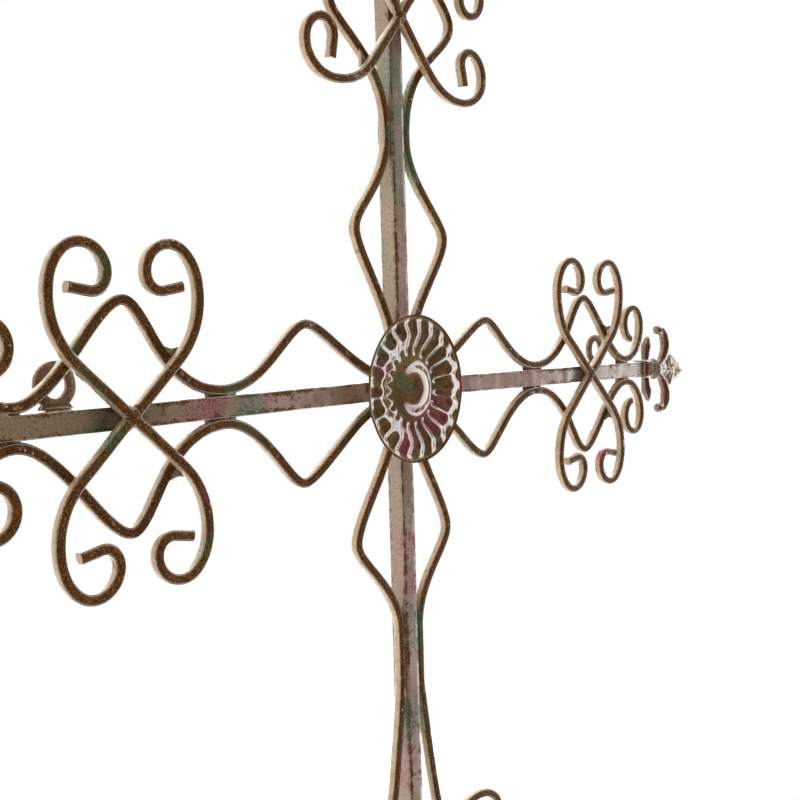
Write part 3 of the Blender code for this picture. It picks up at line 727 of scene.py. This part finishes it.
# The sixth argument (front shade and rub) paints the front and back faces dark, mostly on the rods and castings: rubbed
# wear together with painted shade.
BAR_PAINT = worn_paint_with_painted_shade("bar_look", TAUPE_MIDDLE, OLIVE, MAUVE_WITH_REFLECTION, BROWN, 0.12, 0.41, green=0.5, crimson=1.0,
                       rough=0.36, coat=0.9, coat_rough=0.16, coat_bend=1.7)
ROD_PAINT = worn_paint_with_painted_shade("rod_look", TAUPE, TAUPE_LIGHT, TAUPE_LIGHT, BROWN, 0.84, 0.05, green=0.5, crimson=0.3,
                       coat=0.9, coat_rough=0.15, coat_bend=1.6, worn_coat=0.0)
CASTING_PAINT = worn_paint_with_painted_shade("casting_look", TAUPE_DARK, TAUPE, TAUPE, RED_BROWN, 0.80, 0.25, green=0.5, crimson=0.4,
                           rough=0.33, coat=1.0, coat_rough=0.12, coat_bend=1.9, worn_coat=0.05)
ROSETTE_PAINT = worn_paint_with_painted_shade("rosette_look", UMBER, FAWN, FAWN, BROWN, 0.0, 0.75, green=1.2, crimson=1.2,
                           rough=0.34, bump=0.09 * MM, coat=1.0, coat_rough=0.1, coat_bend=2.1, worn_coat=1.0,
                           sheen=0.05)
TAB_PAINT = worn_paint_with_painted_shade("tab_look", TAUPE, TAUPE_DARK, TAUPE_DARK, BROWN, 0.0, 0.05, green=0.2, crimson=0.1,
                       rough=0.45)


# Bars, waves and crossed scrolls

def bar_shape(start, end, seed):
    """A length of the heavy bar."""
    count = round((end - start) / BAR_STEP)
    line = np.stack((np.linspace(start, end, count), np.zeros(count)), axis=1)
    return swept(line, BAR / 2, BAR / 2, BAR_ROUND, seed, wander=0.07 * MM)


def rod_shape(knots, height, seed):
    """A length of the thin rod bent along the knots."""
    return swept(path_points(knots, ROD_STEP), height, ROD / 2, ROD_ROUND, seed)


def touch_pad(line, side, middle, length, seed):
    """The weld that fills the wedge between a wave and its bar where they touch: a low uneven bank."""
    near = (np.abs(line[:, 0] - middle) < length / 2) & (np.abs(line[:, 1]) < TOUCH + ROD)
    path = line[near]
    if len(path) < 4:
        return None
    u = path[:, 0]
    reach = (u - u.min()) / (u.max() - u.min())
    swell = np.sin(math.pi * reach) ** 0.35
    inner = side * (BAR / 2 - 0.5 * MM)
    outer = path[:, 1] - side * (ROD / 2 - 0.9 * MM)
    around = 14
    angles = np.linspace(0, 2 * math.pi, around, endpoint=False)
    square = np.sign(np.cos(angles)) * np.abs(np.cos(angles)) ** 0.6, np.sign(np.sin(angles)) * np.abs(np.sin(angles)) ** 0.6
    points = np.empty((len(path), around, 3))
    track = np.stack((u, np.full_like(u, seed)), axis=1)
    front = BAR - 0.9 * MM + 0.7 * MM * ripple(track, 5 * MM, seed)
    back = BAR - ROD + 0.6 * MM
    half = (front - back) / 2 * swell
    points[:, :, 0] = u[:, None]
    points[:, :, 1] = ((inner + outer) / 2)[:, None] + (outer - inner)[:, None] / 2 * square[0][None, :]
    points[:, :, 2] = (back + half)[:, None] + half[:, None] * square[1][None, :]
    flat = points.reshape(-1, 3)
    flat[:, 2] += 0.18 * MM * ripple(flat, 2.6 * MM, seed + 5)
    faces = [tuple(f) for f in ring_faces(len(path), around)]
    if side < 0:
        faces = [tuple(reversed(f)) for f in faces]
    faces.append(tuple(range(around - 1, -1, -1)) if side > 0 else tuple(range(around)))
    base = (len(path) - 1) * around
    ends = [base + j for j in range(around)]
    faces.append(tuple(ends) if side > 0 else tuple(reversed(ends)))
    return flat, faces, {"weld": np.full(len(flat), 0.6)}


def spatter(line, side, height, seed, count=7):
    """Small weld beads that stuck to the front of a wave."""
    rng = np.random.default_rng(seed)
    beads = []
    for index in rng.integers(4, len(line) - 4, count):
        size = rng.uniform(0.35, 0.75) * MM
        shift = rng.uniform(-0.3, 0.3) * ROD
        spot = (line[index, 0], line[index, 1] + shift, height + ROD / 2)
        beads.append(lump(spot, (size, size, size * 0.8), seed=int(index), rings=(8, 6)))
    return beads


def wave_shape(knots, side, cross, seed):
    """A wave with the welds that hold it to its bar and the beads on it."""
    line = path_points(knots, ROD_STEP)
    shapes = [swept(line, WAVE_HEIGHT, ROD / 2, ROD_ROUND, seed)]
    first = line[np.argmin(np.where((line[:, 0] > 120 * MM) & (line[:, 0] < 215 * MM), np.abs(line[:, 1]), 1.0))]
    for middle, length in ((first[0], 24 * MM), (cross + LAST_TOUCH_PAST_CROSS, 20 * MM)):
        bank = touch_pad(line, side, middle, length, seed + round(middle / MM))
        if bank:
            shapes.append(bank)
    shapes += spatter(line, side, WAVE_HEIGHT, seed + 9)
    return joined(shapes)


def scroll_bars(cross):
    """The knots of the three bars of an X: the one that runs through, and the outer and inner halves."""
    arm = half_scroll_knots(0.0)[1:]
    through = turned_round(flipped(arm, across=1, along=-1)) + flipped(arm, across=-1)
    lean = 2 * SCROLL_SLOPE
    half = half_scroll_knots((ROD / 2 + GAP + ROD / 2 * math.cos(lean)) / math.sin(lean))
    return [moved(knots, cross) for knots in (through, half, flipped(half, across=-1, along=-1))]


def crossed_scrolls(name, matrix, cross, seed):
    """One X of scrolls, with the weld that fills the corners where its bars meet."""
    through, outer, inner = scroll_bars(cross)
    shapes = [rod_shape(through, SCROLL_HEIGHT, seed)]
    shapes.append(lump((cross, 0.0, SCROLL_HEIGHT + 0.5 * MM), (6.9 * MM, 5.2 * MM, 3.2 * MM), SCROLL_SLOPE, seed, 0.03,
                       (26, 18)))
    shapes[-1][2]["weld"] *= 0.0
    piece(name + "_cross_scroll", joined(shapes), ROD_PAINT, matrix)
    for ending, knots, end in (("_outer_scroll", outer, 1), ("_inner_scroll", inner, -1)):
        shapes = [rod_shape(knots, SCROLL_HEIGHT, seed + 20 * end)]
        foot = knots[0][1]
        spot = (foot[0] + end * 0.5 * MM, foot[1] + end * 2.2 * MM, SCROLL_HEIGHT + 0.4 * MM)
        shapes.append(lump(spot, (4.2 * MM, 2.6 * MM, 2.6 * MM), 0.5, seed + 7 + end, 0.05, (20, 14)))
        shapes[-1][2]["weld"] *= 0.0
        piece(name + ending, joined(shapes), ROD_PAINT, matrix)


def corner_web(wave_line, side, cross, reach):
    """The small web of weld in the corner where a wave passes behind a bar of the X."""
    bars = [path_points(knots, ROD_STEP) for knots in scroll_bars(cross)]
    best = None
    for bar_line in bars:
        near = np.linalg.norm(wave_line[:, None] - bar_line[None], axis=2)
        beyond = (wave_line[:, 0] - cross) * reach
        near[(beyond < 12 * MM) | (beyond > 60 * MM) | (wave_line[:, 1] * side < 25 * MM)] = 1.0
        i, j = np.unravel_index(np.argmin(near), near.shape)
        if best is None or near[i, j] < best[0]:
            best = (near[i, j], i, j, bar_line)
    _, i, j, bar_line = best
    i, j = min(max(i, 3), len(wave_line) - 4), min(max(j, 3), len(bar_line) - 4)
    headings = []
    for line, at in ((wave_line, i), (bar_line, j)):
        heading = line[at + 3] - line[at - 3]
        heading = heading / np.linalg.norm(heading)
        headings.append(heading if heading[1] * side > 0 else -heading)
    middle = headings[0] + headings[1]
    middle /= np.linalg.norm(middle)
    corner = bar_line[j] + middle * 2.5 * MM
    return web_plate(corner, headings[0] * WEB_REACH, headings[1] * WEB_REACH, side)


def web_plate(corner, along_wave, along_bar, side):
    """A thin three-cornered plate with soft edges and a hollow outer side, just behind the X."""
    share = np.linspace(0, 1, 9)[:, None]
    hollow = 0.22 * np.sin(math.pi * share)
    far = along_wave * (1 - share) + along_bar * share
    edge = np.concatenate((along_wave * share[:-1], far * (1 - hollow), along_bar * (1 - share[1:])))[:-1]
    turned = along_wave[0] * along_bar[1] - along_wave[1] * along_bar[0]
    if turned < 0:
        edge = edge[::-1]
    middle = edge.mean(axis=0)
    rings = []
    for draw, level in ((0.12, 0.0), (0.0, -0.5 * MM), (0.0, -2.2 * MM), (0.12, -2.7 * MM)):
        ring = corner + middle + (edge - middle) * (1 - draw)
        rings.append(np.column_stack((ring, np.full(len(ring), BAR + 0.2 * MM + level))))
    count = len(edge)
    centres = np.array([np.append(corner + middle, BAR + 0.4 * MM), np.append(corner + middle, BAR - 2.7 * MM)])
    spots = np.concatenate(rings + [centres])
    spots[:, 2] += 0.12 * MM * ripple(spots, 4 * MM, 5)
    faces = [tuple(reversed(f)) for f in ring_faces(len(rings), count)]
    last = (len(rings) - 1) * count
    for j in range(count):
        k = (j + 1) % count
        faces.append((j, k, len(spots) - 2))
        faces.append((last + k, last + j, len(spots) - 1))
    return spots, faces, {"weld": np.full(len(spots), 0.9)}


def dress_arm(name, matrix, cross, shift, waves, seed):
    """The waves and the X of one arm."""
    reach = 1 if name == "right" else -1
    for number, (side, (wave, knots)) in enumerate(zip((1, -1), waves)):
        knots = flipped(knots, across=side)
        web = corner_web(path_points(knots, ROD_STEP), side, cross + shift, reach)
        shape = joined([wave_shape(knots, side, cross, seed + 100 * number), web])
        piece(wave, shape, ROD_PAINT, matrix)
    crossed_scrolls(name, matrix, cross + shift, seed + 300)


def side_wave(shape, draw=0.0):
    return wave_knots(shape, SIDE_TOUCH, SIDE_CROSS, draw=draw)


def top_wave(shape):
    return wave_knots(shape, TOP_TOUCH, TOP_CROSS)


def bottom_wave(shape):
    return wave_knots(shape, BOTTOM_TOUCH, BOTTOM_CROSS, leg=BOTTOM_LEG)


dress_arm("right", RIGHT, SIDE_CROSS, RIGHT_SCROLL_SHIFT,
          (("right_upper_wave", side_wave(RIGHT_UPPER)),
           ("right_lower_wave", side_wave(RIGHT_LOWER))), 1000)
dress_arm("top", TOP, TOP_CROSS, 0.0,
          (("top_left_wave", top_wave(TOP_LEFT)),
           ("top_right_wave", top_wave(TOP_RIGHT))), 2000)
dress_arm("left", LEFT, SIDE_CROSS, LEFT_SCROLL_SHIFT,
          (("left_lower_wave", side_wave(LEFT_LOWER, LEFT_WAVE_DRAW)),
           ("left_upper_wave", side_wave(LEFT_UPPER, LEFT_WAVE_DRAW))), 3000)
dress_arm("bottom", BOTTOM, BOTTOM_CROSS, 0.0,
          (("bottom_right_wave", bottom_wave(BOTTOM_RIGHT)),
           ("bottom_left_wave", bottom_wave(BOTTOM_LEFT))), 4000)

piece("right_arm_bar", bar_shape(ARM_START, SIDE_CROSS + BAR_PAST_CROSS, 11), BAR_PAINT, RIGHT)
piece("left_arm_bar", bar_shape(ARM_START, SIDE_CROSS + BAR_PAST_CROSS, 12), BAR_PAINT, LEFT)
piece("upright_bar", bar_shape(-(BOTTOM_CROSS + BAR_PAST_CROSS), TOP_CROSS + BAR_PAST_CROSS, 13),
      BAR_PAINT, TOP)


# Rosette

def eased_line(knots, step):
    """A smooth line through profile points, evenly stepped."""
    knots = np.array(knots)
    ends = np.concatenate((knots[:1] * 2 - knots[1:2], knots, knots[-1:] * 2 - knots[-2:-1]))
    runs = []
    t = np.linspace(0, 1, 24, endpoint=False)[:, None]
    for p0, p1, p2, p3 in zip(ends, ends[1:], ends[2:], ends[3:]):
        runs.append(0.5 * (2 * p1 + (p2 - p0) * t + (2 * p0 - 5 * p1 + 4 * p2 - p3) * t ** 2
                           + (3 * p1 - p0 - 3 * p2 + p3) * t ** 3))
    runs.append(knots[-1:])
    line = np.concatenate(runs)
    along = np.concatenate(([0.0], np.cumsum(np.linalg.norm(np.diff(line, axis=0), axis=1))))
    even = np.linspace(0, along[-1], max(3, round(along[-1] / step)))
    return np.stack([np.interp(even, along, line[:, i]) for i in (0, 1)], axis=1)


def lobe_press(radius, angle):
    """How deep the ring of lobes is pressed at a radius and angle, 0 on a crest to 1 in a groove."""
    across = 2 * ((angle * ROSETTE_LOBES / (2 * math.pi) + 0.5) % 1.0) - 1
    start, full = 21 * MM, 27.5 * MM
    stop, gone = 43.5 * MM, 47.2 * MM
    ease_in = np.clip((radius - start) / (full - start), 0, 1)
    ease_out = np.clip((gone - radius) / (gone - stop), 0, 1)
    envelope = (ease_in * ease_in * (3 - 2 * ease_in)) * (ease_out * ease_out * (3 - 2 * ease_out))
    crest = np.minimum(np.abs(across), GROOVE_START)
    past = np.abs(across) - crest
    fall = crest * crest / GROOVE_START + 2 * past - past * past / (1 - GROOVE_START)
    return envelope * fall


def rosette_shape():
    """The stamped dish: dome, cone, valley, lobes and turned-up rim, then its back and the seat ring."""
    front = [(0.0, BOSS_TOP), (3 * MM, 13.83 * MM), (6 * MM, 13.28 * MM), (9 * MM, 12.35 * MM)]
    front += [(11.3 * MM, 11.35 * MM), (12.9 * MM, 10.2 * MM), (14.2 * MM, 8.9 * MM), (16 * MM, 7.2 * MM)]
    front += [(18.3 * MM, 6.2 * MM), VALLEY, (24.5 * MM, 6.3 * MM), FLUTE_FOOT, (32 * MM, 9.6 * MM)]
    front += [FLUTE_CROWN, (42 * MM, 10.6 * MM), RIM_DIP, (47.4 * MM, 9.75 * MM), (48.3 * MM, RIM_HEIGHT)]
    rim = [(ROSETTE_RADIUS - 0.3 * MM, RIM_HEIGHT + 0.1 * MM), (ROSETTE_RADIUS, RIM_HEIGHT - 0.3 * MM),
           (ROSETTE_RADIUS - 0.2 * MM, RIM_HEIGHT - 1.1 * MM)]
    inner, outer = SEAT_RING
    back = [(46.6 * MM, 7.7 * MM), (42 * MM, 8.9 * MM), (37 * MM, 9.6 * MM), (32 * MM, 7.9 * MM)]
    back += [(27 * MM, 4.7 * MM), (23 * MM, 2.0 * MM), (outer, 0.1 * MM), (17 * MM, 0.0), (inner, 0.1 * MM)]
    back += [(12.5 * MM, 2.5 * MM), (9 * MM, 6.5 * MM), (5 * MM, 9.2 * MM), (0.6 * MM, 10.3 * MM)]
    top = eased_line(front, 0.62 * MM)
    line = np.concatenate((top[1:], eased_line(rim, 0.3 * MM), eased_line(back, 1.25 * MM)))
    is_front = np.arange(len(line)) < len(top) - 1
    around = ROSETTE_LOBES * 20
    angles = np.linspace(0, 2 * math.pi, around, endpoint=False)
    radius, angle = np.meshgrid(line[:, 0], angles, indexing="ij")
    press = lobe_press(radius, angle)
    height = line[:, 1][:, None] - LOBE_DEPTH * press
    spots = np.stack((radius * np.cos(angle), radius * np.sin(angle), SEAT_HEIGHT + height), axis=2).reshape(-1, 3)
    dent = 0.16 * MM * ripple(spots[:, :2], 17 * MM, 51) * np.clip(radius.ravel() / (20 * MM), 0, 1)
    spots[:, 2] += dent
    faces = [tuple(f) for f in ring_faces(len(line), around)]
    middle, back_middle = len(spots), len(spots) + 1
    tips = np.array(((0, 0, SEAT_HEIGHT + BOSS_TOP), (0, 0, SEAT_HEIGHT + 10.3 * MM)))
    last = (len(line) - 1) * around
    for j in range(around):
        k = (j + 1) % around
        faces.append((middle, j, k)[::-1])
        faces.append((back_middle, last + j, last + k))
    faces = [face[::-1] for face in faces]
    # The groove mark gives painted shade in the grooves between the lobes.
    shown = (press * is_front[:, None]).ravel()
    lip = (radius > 47.6 * MM).astype(float).ravel()
    crown = np.clip((radius - 26 * MM) / (9 * MM), 0, 1) * np.clip((46.3 * MM - radius) / (2 * MM), 0, 1)
    apex = np.clip((12.5 * MM - radius) / (5 * MM), 0, 1)
    high = (np.maximum(crown * (1 - 0.8 * press), 0.8 * apex) * is_front[:, None]).ravel()
    marks = {"groove": np.append(shown, (0, 0)) * 0.3, "dull": np.append(lip, (0, 0)),
             "edge": np.append(lip, (0, 0)),
             "rub": np.append(high, (0.8, 0.0)) * 0.75}
    return np.concatenate((spots, tips)), faces, marks


FACE_FRONT = Matrix(((1, 0, 0, 0), (0, 0, -1, 0), (0, 1, 0, 0), (0, 0, 0, 1)))
piece("rosette", rosette_shape(), ROSETTE_PAINT, FACE_FRONT)


# Finials

def tube(points, radii, flat=1.0, around=16):
    """A closed tapering tube through points in the arm's frame."""
    points, radii = np.array(points, float), np.array(radii, float)
    ahead = np.gradient(points, axis=0)
    ahead /= np.linalg.norm(ahead, axis=1)[:, None]
    up = np.array((0.0, 0.0, 1.0))
    side = np.cross(up, ahead)
    side /= np.linalg.norm(side, axis=1)[:, None]
    angles = np.linspace(0, 2 * math.pi, around, endpoint=False)
    rings = (points[:, None, :] + side[:, None, :] * (radii[:, None] * np.cos(angles))[:, :, None]
             + up * (flat * radii[:, None] * np.sin(angles))[:, :, None])
    spots = rings.reshape(-1, 3)
    faces = [tuple(f) for f in ring_faces(len(points), around)]
    last = (len(points) - 1) * around
    faces.append(tuple(range(around - 1, -1, -1)))
    faces.append(tuple(last + j for j in range(around)))
    return spots, faces, {}


def curve_through(knots, count):
    """A smooth plane curve through points, as 3-D points at the casting's middle height."""
    line = eased_line(knots, 0.25 * MM)
    pick = np.linspace(0, len(line) - 1, count).round().astype(int)
    return np.column_stack((line[pick], np.full(count, FINIAL_MIDDLE)))


def spear_shape():
    """The barbed point: a leaf with a ridge along its middle and thin edges."""
    outline = list(SPEAR_HALF_OUTLINE) + [(SPEAR_LENGTH - 0.4 * MM, 0.5 * MM)]
    rows = []
    for out, half in outline:
        share = min(1.0, half / (9 * MM))
        ridge = SPEAR_EDGE + (SPEAR_RIDGE - SPEAR_EDGE) * share ** 0.5
        thin = SPEAR_EDGE * (0.4 + 0.6 * share)
        rows.append([(out, 0.0, ridge), (out, -half, thin), (out, -half, -thin),
                     (out, 0.0, -ridge), (out, half, -thin), (out, half, thin)])
    spots = np.array(rows).reshape(-1, 3) + np.array((0.0, 0.0, FINIAL_MIDDLE))
    faces = [tuple(reversed(f)) for f in ring_faces(len(rows), 6)]
    last = (len(rows) - 1) * 6
    faces += [tuple(range(6)), tuple(last + j for j in reversed(range(6)))]
    return spots, faces, {}


def add_object(name, data):
    made = bpy.data.objects.new(name, data)
    bpy.context.scene.collection.objects.link(made)
    return made


def modified(obj, kind, **settings):
    """Adds a modifier with its settings."""
    step = obj.modifiers.new(kind.lower(), kind)
    for name, value in settings.items():
        setattr(step, name, value)
    return step


def evaluated_mesh(obj):
    """The mesh of an object with its modifiers, and the object removed."""
    bpy.context.view_layer.update()
    mesh = bpy.data.meshes.new_from_object(obj.evaluated_get(bpy.context.evaluated_depsgraph_get()))
    bpy.data.objects.remove(obj, do_unlink=True)
    return mesh


def box_shape(low, high):
    """A box between two corners."""
    (x0, y0, z0), (x1, y1, z1) = low, high
    spots = [(x0, y0, z0), (x1, y0, z0), (x1, y1, z0), (x0, y1, z0),
             (x0, y0, z1), (x1, y0, z1), (x1, y1, z1), (x0, y1, z1)]
    faces = [(0, 3, 2, 1), (4, 5, 6, 7), (0, 1, 5, 4), (1, 2, 6, 5), (2, 3, 7, 6), (3, 0, 4, 7)]
    return np.array(spots), faces, {}


def saddle_mesh():
    """The cap over the end of a bar, rounded in front, open at the back and towards the bar."""
    half = BAR / 2 + GAP + SADDLE_WALL
    block = box_shape((-SADDLE_OVERLAP, -half, GAP), (SADDLE_LENGTH - SADDLE_OVERLAP, half, BAR + SADDLE_TOP + GAP))
    saddle = add_object("saddle", mesh_of("saddle", block, smooth=False))
    modified(saddle, "BEVEL", width=3.2 * MM, segments=4)
    room = BAR / 2 + GAP
    hollow = box_shape((-2 * SADDLE_OVERLAP, -room, -BAR), (GAP, room, BAR + GAP))
    pocket = add_object("pocket", mesh_of("pocket", hollow, smooth=False))
    modified(saddle, "BOOLEAN", operation="DIFFERENCE", object=pocket, solver="EXACT")
    mesh = evaluated_mesh(saddle)
    bpy.data.objects.remove(pocket, do_unlink=True)
    return mesh


def mesh_shape(mesh):
    """A mesh datablock as a shape."""
    spots = np.empty(len(mesh.vertices) * 3, np.float32)
    mesh.vertices.foreach_get("co", spots)
    return spots.reshape(-1, 3).astype(float), [tuple(p.vertices) for p in mesh.polygons], {}


def finial_shape():
    """The casting, measured out from the end of its bar: joined parts, fused and softened."""
    parts = [mesh_shape(saddle_mesh())]
    middle = FINIAL_MIDDLE
    parts.append(lump((14 * MM, 0, middle), (12 * MM, 5.2 * MM, 4.6 * MM), rough=0.03))
    for side in (-1, 1):
        share = np.linspace(0, 1, 22)
        line = np.column_stack((SPINDLE_OUT + SPINDLE_SPLAY * share ** 2 - 1.5 * MM * np.sin(math.pi * share),
                                side * SPINDLE_REACH * share, np.full(22, middle)))
        girth = SPINDLE_RADIUS * np.interp(share, (0, 0.3, 0.68, 0.9, 1), (1.1, 1.0, 1.35, 0.8, 0.15))
        parts.append(tube(line, girth))
        parts.append(lump((PETAL_TIP[0], side * PETAL_TIP[1], middle), (KNOB_RADIUS,) * 3, rough=0.04))
        petal = curve_through([(x, side * y) for x, y in (
            (31 * MM, 3 * MM), (36 * MM, 5.5 * MM), (43 * MM, 12 * MM), (47.4 * MM, 20.5 * MM),
            (45.6 * MM, 29.5 * MM), (40 * MM, 34.8 * MM), PETAL_TIP)], 34)
        share = np.linspace(0, 1, 34)
        girth = PETAL_RADIUS * np.interp(share, (0, 0.25, 0.6, 0.85, 1), (0.8, 1.15, 1.4, 1.3, 1.25))
        parts.append(tube(petal, girth, flat=0.92))
    for out, half_width in COLLARS:
        parts.append(lump((out, 0.0, middle), (1.75 * MM, half_width, 4.9 * MM), rough=0.01, rings=(20, 14)))
    parts.append(spear_shape())
    body = add_object("casting", mesh_of("casting", joined(parts), smooth=False))
    modified(body, "REMESH", mode="VOXEL", voxel_size=FINIAL_VOXEL)
    modified(body, "SMOOTH", factor=0.5, iterations=2)
    mesh = evaluated_mesh(body)
    shape = mesh_shape(mesh)
    marks = bent_marks(mesh)
    out, across = shape[0][:, 0], np.abs(shape[0][:, 1])
    bright = (out > 19 * MM) & ((across < 9 * MM) | (out > 50 * MM))
    marks["rub"] = np.where(bright, -0.55, 0.6)
    bpy.data.meshes.remove(mesh)
    return shape[0], shape[1], marks


FINIAL = finial_shape()


def finial(name, matrix, cross, seed, droop=0.0):
    """One finial, put on the end of its arm, with its own slightly different casting skin and droop."""
    spots, faces, marks = FINIAL
    skin = spots + 0.05 * MM * ripple(spots, 4 * MM, seed)[:, None]
    skin[:, 1] -= math.tan(droop) * np.maximum(skin[:, 0] - DROOP_FROM, 0.0)
    end = Matrix.Translation((cross + BAR_PAST_CROSS, 0.0, 0.0))
    piece(name, (skin, faces, marks), CASTING_PAINT, matrix @ end)


finial("right_finial", RIGHT, SIDE_CROSS, 61, droop=math.radians(3.2))
finial("left_finial", LEFT, SIDE_CROSS, 62)
finial("top_finial", TOP, TOP_CROSS, 63)
finial("bottom_finial", BOTTOM, BOTTOM_CROSS, 64)


# Hanger rings

def ring_tab_shape(side, seed):
    """A flat ring cut from plate with hollow fillets to its foot, and the weld along the foot."""
    foot = -(TAB_LIFT - GAP)
    outline = []
    neck = math.radians(-52)
    for angle in np.linspace(neck, math.pi - neck, 60):
        outline.append((TAB_RADIUS * math.cos(angle), TAB_RADIUS * math.sin(angle)))
    start = outline[-1]
    for share in np.linspace(0, 1, 7)[1:]:
        bend = math.sin(share * math.pi / 2)
        outline.append((start[0] - (TAB_FOOT + 1.6 * MM + start[0]) * (1 - math.cos(share * math.pi / 2)),
                        start[1] + (foot - start[1]) * bend))
    outline += [(-x, y) for x, y in reversed(outline[-6:])]
    outer = np.array(outline)
    count = 72
    along = np.concatenate(([0.0], np.cumsum(np.linalg.norm(np.diff(np.vstack((outer, outer[:1])), axis=0), axis=1))))
    even = np.linspace(0, along[-1], count, endpoint=False)
    loop = np.vstack((outer, outer[:1]))
    outer = np.stack([np.interp(even, along, loop[:, i]) for i in (0, 1)], axis=1)
    angles = np.arctan2(outer[:, 1], outer[:, 0])
    hole = np.stack((np.cos(angles), np.sin(angles)), axis=1) * TAB_HOLE
    half, ease = TAB_THICKNESS / 2, 0.45 * MM
    rings = []
    mid = (outer + hole) / 2
    for ring, draw, level in (
            (outer, ease, half), (outer, 0.0, half - ease), (outer, 0.0, -half + ease), (outer, ease, -half),
            (mid, 0.0, -half), (hole, ease, -half), (hole, 0.0, -half + ease), (hole, 0.0, half - ease),
            (hole, ease, half), (mid, 0.0, half)):
        inward = (mid - ring)
        length = np.linalg.norm(inward, axis=1)[:, None]
        flat = ring + inward / np.maximum(length, 1e-9) * draw
        rings.append(np.column_stack((flat, np.full(count, level))))
    spots = np.concatenate(rings)
    spots = spots + 0.06 * MM * ripple(spots, 6 * MM, seed)[:, None]
    closed = np.array(ring_faces(len(rings) + 1, count)) % (len(rings) * count)
    faces = [tuple(reversed(f)) for f in closed]
    edge = np.repeat((1.0, 1.0, 1.0, 1.0, 0.0, 1.0, 1.0, 1.0, 1.0, 0.0), count)
    plate = (spots, faces, {"edge": edge})
    spot = (0.0, foot + 0.4 * MM, TAB_THICKNESS / 2)
    bank = lump(spot, (TAB_FOOT, 1.1 * MM, 0.9 * MM), seed=seed, rough=0.05, rings=(30, 12))
    shape = joined([plate, bank])
    turned = Matrix.Rotation(0.0 if side > 0 else math.pi, 4, "Z")
    place = Matrix.Translation((TAB_OUT, side * TAB_CENTRE, TAB_THICKNESS / 2))
    return placed(shape, place @ turned)


piece("right_hanger_tab", ring_tab_shape(1, 71), TAB_PAINT, RIGHT)
piece("left_hanger_tab", ring_tab_shape(-1, 72), TAB_PAINT, LEFT)


# Stage, light and camera

def flat_material(name, shade, roughness):
    """A plain studio surface."""
    made = bpy.data.materials.new(name)
    made.use_nodes = True
    shader = made.node_tree.nodes["Principled BSDF"]
    shader.inputs["Base Color"].default_value = (shade, shade, shade, 1.0)
    shader.inputs["Roughness"].default_value = roughness
    return made


FLOOR_LEVEL = -0.62
LEFT_LIGHT = 1.4
RIGHT_LIGHT = 3.1
FRONT_LIGHT = 0.04
FLOOR_HALF = 0.9
FLOOR_FRONT, FLOOR_BACK = -0.2, 0.9
floor_shape = box_shape((-FLOOR_HALF, FLOOR_FRONT, FLOOR_LEVEL - 0.02), (FLOOR_HALF, FLOOR_BACK, FLOOR_LEVEL))
floor = add_object("studio_floor", mesh_of("studio_floor", floor_shape, smooth=False))
floor.data.materials.append(flat_material("studio_floor", 0.93, 0.9))

world = bpy.data.worlds.new("studio")
bpy.context.scene.world = world
world.use_nodes = True
sky = world.node_tree
sky.nodes.clear()
look = sky.nodes.new("ShaderNodeTexCoord").outputs["Generated"]
aside = put(sky, "SeparateXYZ", look, out=0)
ahead = put(sky, "SeparateXYZ", look, out=1)
frontward = times(sky, ahead, -1.0)
shade = step_up(sky, frontward, 0.46, 0.58)
around = put(sky, "MapRange", aside, -0.5, 0.6, LEFT_LIGHT, RIGHT_LIGHT, interpolation_type="SMOOTHSTEP")
bright = put(sky, "Mix", shade, None, around, FRONT_LIGHT, out=0, data_type="FLOAT")
lit = put(sky, "Background", (1.0, 0.99, 0.97, 1.0), bright)
seen = put(sky, "Background", (1.0, 1.0, 1.0, 1.0), 1.0)
camera_ray = put(sky, "LightPath", out=0)
both = put(sky, "MixShader", camera_ray, lit, seen)
sky.links.new(both, sky.nodes.new("ShaderNodeOutputWorld").inputs[0])

EYE = Vector((-0.6276, -0.5259, 0.0442))
YAW, PITCH, ROLL = math.radians(50.45), math.radians(-3.65), math.radians(-1.64)
view = Vector((math.sin(YAW) * math.cos(PITCH), math.cos(YAW) * math.cos(PITCH), math.sin(PITCH)))
level = Vector((math.cos(YAW), -math.sin(YAW), 0.0))
upward = level.cross(view)
right_hand = math.cos(ROLL) * level + math.sin(ROLL) * upward
head = -math.sin(ROLL) * level + math.cos(ROLL) * upward
lens = bpy.data.cameras.new("camera")
lens.sensor_width = 36.0
lens.lens = 54.85
lens.clip_start = 0.01
camera = add_object("camera", lens)
camera.matrix_world = Matrix.Translation(EYE) @ Matrix((right_hand, head, -view)).transposed().to_4x4()
bpy.context.scene.camera = camera
bpy.context.scene.view_settings.view_transform = "Standard"
